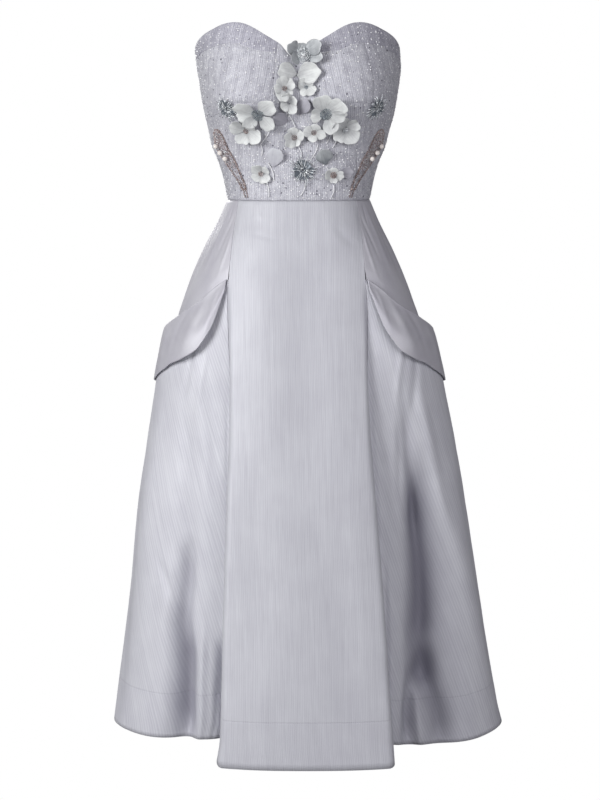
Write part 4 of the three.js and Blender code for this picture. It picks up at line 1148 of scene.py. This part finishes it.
def petal_mesh(length, width, cup, curl, roll, seed):
    """One petal, growing along +Y from its root, as a grid whose points are placed one by one."""
    bpy.ops.object.select_all(action="DESELECT")
    bpy.ops.mesh.primitive_grid_add(x_subdivisions=PETAL_CELLS[0], y_subdivisions=PETAL_CELLS[1], size=2)
    petal = bpy.context.object
    shares = []
    for vertex in petal.data.vertices:
        x, y = vertex.co.x, vertex.co.y
        t = x * math.sqrt(1 - y * y / 2)
        s = (1 + y * math.sqrt(1 - x * x / 2)) / 2
        shares.append((t, s))
        rim = noise.noise(Vector((t * RIM_WAVES[0] + seed * SEED_SHIFT, s * RIM_WAVES[1], seed)))
        narrowed = mix(ROOT_WIDTH, 1, smooth(s * WIDENING))
        height = cup * s ** CUP_POWER + (curl * t * t + roll * t) * s + rim * RIM_HEIGHT * width * s * s
        across = t * width * narrowed * (1 + RIM_WIDTH * rim)
        vertex.co = Vector((across, length * s * (1 + RIM_LENGTH * rim), height))
    own_map = petal.data.uv_layers[0]
    own_map.name = "petal"
    for loop in petal.data.loops:
        own_map.data[loop.index].uv = shares[loop.vertex_index]
    return petal


def bloom(name, angle, z, radius, petals, turn, lift, material, open_share=OPEN_SHARE):
    """Petals round a middle: each has its own turn, length and half width."""
    rng = random.Random(name)
    made = []
    single = len(petals) == 1
    root_place = radius * ROOT_PLACE["single" if single else "whole"]
    for k, (own_turn, long, wide) in enumerate(petals):
        length = radius * long
        width = length * wide
        cup = length * open_share * (SINGLE_OPEN if single else rng.uniform(*OPEN_RANGE))
        petal = petal_mesh(length, width, cup, width * rng.uniform(*CURL_RANGE),
                           width * rng.choice(ROLLS), rng.uniform(*SEED_RANGE))
        spin = Matrix.Rotation(math.radians(turn + own_turn), 4, "Z")
        root = Vector((0, root_place, PETAL_STEP * (k % 3)))
        for vertex in petal.data.vertices:
            place = spin @ (vertex.co + root)
            off = max(lift + place.z, LOWEST_PETAL)
            vertex.co = over_cloth(angle, z, place.x, place.y, off) * MM
        petal.data.materials.append(material)
        made.append(petal)
    select_only(*made)
    if len(made) > 1:
        bpy.ops.object.join()
    flower = bpy.context.object
    flower.name = name
    modify(flower, "SOLIDIFY", thickness=PETAL_THICK * MM, offset=1.0)
    modify(flower, "SUBSURF", levels=1, render_levels=1)
    select_only(flower)
    bpy.ops.object.shade_smooth()
    return flower


def template(kind):
    bpy.ops.object.select_all(action="DESELECT")
    if kind == "bead":
        bpy.ops.mesh.primitive_ico_sphere_add(subdivisions=1, radius=1)
    elif kind == "pearl":
        bpy.ops.mesh.primitive_uv_sphere_add(segments=24, ring_count=14, radius=1)
    elif kind == "bugle":
        bpy.ops.mesh.primitive_cylinder_add(vertices=6, radius=1, depth=2)
    else:
        bpy.ops.mesh.primitive_cone_add(vertices=6, radius1=1, radius2=0.45, depth=0.4)
    shape = bpy.context.object
    vertices = [vertex.co.copy() for vertex in shape.data.vertices]
    faces = [tuple(polygon.vertices) for polygon in shape.data.polygons]
    bpy.data.objects.remove(shape)
    return vertices, faces


def place_copies(name, shape, places, material, node=None):
    """One mesh of many copies on the dress: each place is a matrix in millimetres."""
    vertices, faces = shape
    points = []
    loops = []
    for matrix in places:
        start = len(points)
        points.extend(matrix @ vertex for vertex in vertices)
        loops.extend(tuple(start + k for k in face) for face in faces)
    belongs(new_piece(name, points, loops, material), node)


def sat(angle, z, across, up, off, size, turn=0.0):
    """The matrix of a small thing on the bodice's cloth; its size is one number or three."""
    point, round_way, _, out = seat_near(angle, z, across, up)
    x = round_way.normalized()
    y = out.cross(x)
    basis = Matrix((x, y, out)).transposed().to_4x4()
    sizes = size if isinstance(size, tuple) else (size,) * 3
    return (Matrix.Translation(point + out * off) @ basis @ Matrix.Rotation(turn, 4, "Z")
            @ Matrix.Diagonal((*sizes, 1)))


# Petals of a flower: turn from upright, length and half width as shares
FIVE = [(6, 1.0, 0.58), (80, 0.9, 0.56), (148, 1.06, 0.60), (222, 0.88, 0.54), (292, 1.02, 0.60)]
FOUR = [(18, 1.04, 0.64), (110, 0.9, 0.60), (196, 1.08, 0.62), (286, 0.86, 0.66)]
LARGE_L = [(58, 1.18, 0.40), (-52, 1.14, 0.46), (-140, 1.06, 0.50), (92, 1.06, 0.34), (130, 0.92, 0.44)]
LARGE_R = [(14, 1.04, 0.52), (-44, 1.06, 0.50), (-92, 1.0, 0.42), (-150, 1.12, 0.44), (98, 0.84, 0.56)]
TOP = [(66, 1.06, 0.46), (112, 0.9, 0.44), (-62, 1.06, 0.44), (-104, 1.0, 0.42), (2, 0.55, 0.7)]
WIDE = [(0, 1.0, 0.42)]
ROUND = [(0, 1.0, 0.52)]
SIX = [(10, 1.0, 0.5), (70, 0.9, 0.5), (130, 1.0, 0.5), (190, 0.94, 0.5), (250, 1.0, 0.5), (310, 0.92, 0.5)]
# node, angle, z, radius, petals, turn, lift, material, centre, centre radius
FLOWERS = [
    ("bloom_top", 4.4, 214, 26, TOP, 0, 4.6, GREY_PETAL, "silver", 12),
    ("petal_top_l", -8.2, 189, 31, WIDE, 78, 1.6, PALE_PETAL, None, 0),
    ("petal_top_r", 6.4, 187, 39, WIDE, -78, 2.8, PALE_PETAL, None, 0),
    ("bloom_neck_l", -10.8, 165, 16, FIVE, 10, 1.4, PALE_PETAL, "copper", 3.2),
    ("bloom_neck_r", 5.5, 167, 14, FOUR, 40, 1.2, PALE_PETAL, "grey", 2.4),
    ("bloom_mid", -8.2, 144, 14, FOUR, 15, 2.8, PALE_PETAL, None, 0),
    ("bloom_large_l", -27.4, 128, 25, LARGE_L, 0, 2.6, PALE_PETAL, "grey", 8),
    ("bloom_large_r", 18.9, 129, 26, LARGE_R, 0, 2.6, PALE_PETAL, "grey", 8),
    ("bloom_side_l", -37.8, 104, 21, FOUR, 40, 1.2, PALE_PETAL, "copper", 3.2),
    ("bloom_side_r", 33.2, 106, 21, FOUR, 30, 1.2, PALE_PETAL, "pearl", 3.2),
    ("bloom_small_l", -4, 94, 15, FIVE, 0, 1.4, PALE_PETAL, "copper", 3.6),
    ("bloom_small_r", 12.2, 102, 14.5, FOUR, 60, 3.2, PALE_PETAL, "copper", 3.4),
    ("petal_mid_r", 3.0, 138, 27, WIDE, -34, 1.0, LILAC_PETAL, None, 0),
    ("petal_mid_l", -13.6, 121, 23, ROUND, 70, 0.8, LILAC_PETAL, None, 0),
    ("petal_low_l", -20.2, 64, 30, WIDE, -12, 0.9, FAINT_PETAL, None, 0),
    ("petal_low_r", 21.7, 65, 25, ROUND, 16, 0.9, GREY_PETAL, None, 0),
    ("bloom_low_l", -32.4, 40, 14.5, FOUR, 22, 1.0, PALE_PETAL, "copper", 3.4),
    ("bloom_low_r", 30.2, 38, 12.5, FOUR, 70, 1.0, PALE_PETAL, "copper", 4.4),
    ("petal_low_side", 40.6, 41, 22, WIDE, -80, 0.7, LILAC_PETAL, None, 0),
]
# A centre's bead radius, how far its middle stands up, and its finish
CENTRES = {
    "silver": (1.15, 4.5, SILVER_BEADS), "copper": (0.8, 1.6, COPPER_BEADS),
    "grey": (0.95, 1.8, GREY_BEADS), "pearl": (0.9, 1.8, SILVER_BEADS),
}
CENTRE_RING = 1.7
RING_FILL = 0.92
CENTRE_LIFT = 2.6
CENTRE_JITTER = 0.8
CENTRE_SIZES = (0.8, 1.15)


def flower_centre(angle, z, lift, centre, middle, rng):
    """The places of a centre's beads, in rings that rise to its middle."""
    size, rise, _ = CENTRES[centre]
    places = []
    rings = max(int(middle / (size * CENTRE_RING)), 1)
    for ring in range(rings + 1):
        count = 1 if ring == 0 else round(2 * math.pi * ring * RING_FILL)
        away = middle * ring / rings
        for k in range(count):
            way = 2 * math.pi * (k + 0.5 * (ring % 2)) / count
            high = lift + CENTRE_LIFT + rise * (1 - (ring / rings) ** 2) + rng.uniform(0, CENTRE_JITTER)
            scale = size * rng.uniform(*CENTRE_SIZES)
            places.append(sat(angle, z, away * math.cos(way), away * math.sin(way), high, scale))
    return places


def flowers():
    bead = template("bead")
    centres = {kind: [] for kind in CENTRES}
    rng = random.Random(11)
    for node, angle, z, radius, petals, turn, lift, material, centre, middle in FLOWERS:
        name = f"{node}_cloth" if len(petals) == 1 else f"{node}_petals"
        flower = bloom(name, angle, z, radius, petals, turn, lift, material)
        belongs(flower, node)
        if centre:
            centres[centre].extend(flower_centre(angle, z, lift, centre, middle, rng))
    for kind, places in centres.items():
        place_copies(f"flower_centres_{kind}", bead, places, CENTRES[kind][2])


flowers()


# Beaded bursts: dark petals under rays of silver beads
BURSTS = [("bead_burst_l", -44.9, 137, 19), ("bead_burst_r", 49, 138, 19), ("bead_burst_mid", 3.9, 46, 22)]
BURST_PETALS = 0.68
BURST_TURN = 10
BURST_LIFT = 0.9
BURST_OPEN = 0.12
BURST_RAYS = 22
RAY_SWAY = 0.12
RAY_LENGTHS = (0.72, 1.05)
# The rods of a ray: place along it and radius; how far they stand off, rising outwards
RAY_RODS = ((0.5, 0.55), (1.04, 0.75))
ROD_PLACE = 0.85
ROD_HALF = 0.2
ROD_OFF, ROD_RISE = 2.6, 2.2
RAY_BEADS = (0.14, 0.62, 1.05)
RAY_BEAD_SIZES = (0.65, 1.0)
BEAD_OFF, BEAD_RISE = 2.4, 2.4


def bursts():
    bead = template("bead")
    bugle = template("bugle")
    rng = random.Random(5)
    lying = Matrix.Rotation(math.pi / 2, 4, "X")
    for node, angle, z, radius in BURSTS:
        base = bloom(f"{node}_petals", angle, z, radius * BURST_PETALS, SIX, BURST_TURN, BURST_LIFT,
                     BURST_PETAL, BURST_OPEN)
        belongs(base, node)
        rods = []
        beads = []
        for k in range(BURST_RAYS):
            way = 2 * math.pi * k / BURST_RAYS + rng.uniform(-RAY_SWAY, RAY_SWAY)
            long = radius * rng.uniform(*RAY_LENGTHS)
            direction = Vector((math.cos(way), math.sin(way)))
            for share, size in RAY_RODS:
                middle = direction * long * share * ROD_PLACE
                place = sat(angle, z, middle.x, middle.y, ROD_OFF + ROD_RISE * share, (size, 1, 1),
                            way - math.pi / 2)
                rods.append(place @ lying @ Matrix.Diagonal((1, size, long * ROD_HALF, 1)))
            for share in RAY_BEADS:
                spot = direction * long * share
                size = rng.uniform(*RAY_BEAD_SIZES)
                beads.append(sat(angle, z, spot.x, spot.y, BEAD_OFF + BEAD_RISE * share, size))
        place_copies(f"{node}_rays", bugle, rods, SILVER_BEADS)
        place_copies(f"{node}_beads", bead, beads, SILVER_BEADS)


bursts()


# Beaded drops from the side of each cup to the waist
DROP_SPINE = Table(["along", "angle", "z", "half"], [
    [0, 64, 106, 5], [0.1, 64.3, 99, 12], [0.28, 64, 83, 16], [0.5, 60.5, 62, 14],
    [0.72, 55.2, 41, 8.4], [0.88, 51, 26, 5.6], [1, 49, 16, 4],
])
DROP_LENGTH = 106
DROP_BEAD = 0.95
DROP_STEP = 2.05
ROW_STEP = 1.9
DROP_FILL = 0.92
TAIL_FILL = 0.3
TAIL_STARTS = 0.66
DROP_SWAY = {"across": 0.25, "up": 0.4, "tail": 0.8}
DROP_SIZES = (0.8, 1.1)
RIM_SIZE, INNER_SIZE = 1.1, 0.9
RIM_OFF, INNER_OFF = 0.3, 0.9
DROP_OFF = 1.3
# The share of copper, mauve and silver beads inside the rim
DROP_COLOURS = (0, 0, 1, 1, 1, 2)
TAIL = [(49, 16), (48.2, 10), (47.4, 3.5)]
TAIL_BEADS = 7
TAIL_HALF = 2.4
TAIL_OFF = 1.0
TAIL_SIZES = (0.7, 0.95)
PEARLS = [(66.4, 82), (63.9, 73), (60.6, 64)]
PEARL_RADIUS = 3.8
PEARL_SEAT = 2.7


def drop_beads(side, rng):
    """The places of a drop's copper, mauve and silver beads."""
    copper, mauve, silver = [], [], []
    steps = int(DROP_LENGTH / (DROP_BEAD * DROP_STEP))
    for step in range(steps + 1):
        along = step / steps
        angle = side * DROP_SPINE.at("angle", along)
        z = DROP_SPINE.at("z", along)
        half = DROP_SPINE.at("half", along)
        rows = max(int(half / (DROP_BEAD * ROW_STEP)), 1)
        fill = DROP_FILL if along < TAIL_STARTS else TAIL_FILL
        for row in range(-rows, rows + 1):
            outer = abs(row) >= rows - 1 or step in (0, steps)
            if not outer and rng.random() > fill:
                continue
            across = half * row / rows + rng.uniform(-DROP_SWAY["across"], DROP_SWAY["across"])
            size = DROP_BEAD * rng.uniform(*DROP_SIZES) * (RIM_SIZE if outer else INNER_SIZE)
            up = rng.uniform(-DROP_SWAY["up"], DROP_SWAY["up"])
            place = sat(angle, z, across, up, DROP_OFF + (RIM_OFF if outer else INNER_OFF), size)
            colour = 0 if outer else rng.choice(DROP_COLOURS)
            (copper, mauve, silver)[colour].append(place)
    for (a0, z0), (a1, z1) in zip(TAIL, TAIL[1:]):
        for k in range(TAIL_BEADS):
            t = k / TAIL_BEADS
            for across in (-TAIL_HALF, TAIL_HALF):
                size = DROP_BEAD * rng.uniform(*TAIL_SIZES)
                off_line = across + rng.uniform(-DROP_SWAY["tail"], DROP_SWAY["tail"])
                copper.append(sat(side * mix(a0, a1, t), mix(z0, z1, t), off_line, 0, TAIL_OFF, size))
    return copper, mauve, silver


def drops():
    bead = template("bead")
    pearl = template("pearl")
    rng = random.Random(23)
    for side, tag in SIDES:
        copper, mauve, silver = drop_beads(side, rng)
        drop = f"beaded_drop_{tag}"
        place_copies(f"{drop}_rows", bead, copper, COPPER_BEADS, drop)
        place_copies(f"{drop}_fill", bead, mauve, MAUVE_BEADS)
        place_copies(f"{drop}_glints", bead, silver, SILVER_BEADS)
        for k, (angle, z) in enumerate(PEARLS):
            place = sat(side * angle, z, 0, 0, PEARL_SEAT + PEARL_RADIUS, PEARL_RADIUS)
            node = f"pearl_{tag}_{k + 1}"
            place_copies(f"{node}_round", pearl, [place], PEARL_FINISH, node)


drops()


# Sequins over the whole bodice, and stems of silver thread beads between the flowers
SEQUIN_PITCH = 7
SEQUIN_FROM, SEQUIN_TO = 6.0, 258
SEQUIN_ROUND = 135
SEQUIN_ROW_SHARE = 0.8
SEQUIN_SWAY = 0.36
SEQUIN_SHIFT = 3.0
SEQUIN_LOWEST = 3
SEQUIN_BELOW_NECK = 4
BACK_SEAM_ROOM = 3
SEQUIN_SIZES = (0.6, 0.8, 1.1, 1.5)
SEQUIN_TILT = 0.25
SEQUIN_OFF = 0.35
DARK_SHARE = 0.09
STEM_PITCH = 1.5
STEM_BEND = 2.2
STEM_OFF = 1.4
MM_PER_DEGREE = 2
STEMS = [
    ((-12, 136), (-3, 108)), ((-20, 112), (-30, 84)), ((-30, 84), (-31, 66)), ((-26, 56), (-22, 30)),
    ((0, 80), (2, 62)), ((24, 108), (22, 84)), ((29, 98), (27, 78)), ((6, 26), (1, 6)),
    ((-29, 30), (-27, 4)), ((24, 50), (29, 28)), ((31, 22), (29, 4)), ((10, 60), (16, 84)),
    ((-9, 152), (-12, 138)),
]


def sparkle():
    rng = random.Random(41)
    bright = []
    dark = []
    z = SEQUIN_FROM
    steps = int(2 * math.pi * SEQUIN_ROUND / SEQUIN_PITCH)
    while z < SEQUIN_TO:
        for k in range(steps):
            angle = -180 + 360 * (k + rng.uniform(-SEQUIN_SWAY, SEQUIN_SWAY)) / steps
            height = z + rng.uniform(-SEQUIN_SHIFT, SEQUIN_SHIFT)
            on_cloth = SEQUIN_LOWEST < height < NECKLINE.at("z", abs(angle)) - SEQUIN_BELOW_NECK
            if on_cloth and abs(abs(angle) - 180) > BACK_SEAM_ROOM:
                radius = rng.choice(SEQUIN_SIZES)
                tilt = Matrix.Rotation(rng.uniform(-SEQUIN_TILT, SEQUIN_TILT), 4, "X")
                tilt = tilt @ Matrix.Rotation(rng.uniform(-SEQUIN_TILT, SEQUIN_TILT), 4, "Y")
                place = sat(angle, height, 0, 0, SEQUIN_OFF, radius) @ tilt
                (dark if rng.random() < DARK_SHARE else bright).append(place)
        z += SEQUIN_PITCH * SEQUIN_ROW_SHARE
    stems = []
    for (a0, z0), (a1, z1) in STEMS:
        steps = int(math.hypot((a1 - a0) * MM_PER_DEGREE, z1 - z0) / STEM_PITCH)
        for k in range(steps):
            t = k / steps
            bend = STEM_BEND * math.sin(math.pi * t)
            stems.append(sat(mix(a0, a1, t), mix(z0, z1, t), bend, 0, STEM_OFF, 1.0))
    sequin = template("sequin")
    place_copies("sequins_pale", sequin, bright, SEQUIN_FINISH)
    place_copies("sequins_dark", sequin, dark, DARK_SEQUIN)
    place_copies("silver_stems", template("bead"), stems, SEQUIN_FINISH)


sparkle()


# The zip keeps its own solids
for node in ("zip_slider", "zip_pull"):
    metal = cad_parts[node]
    metal.data.materials.clear()
    metal.data.materials.append(NICKEL)
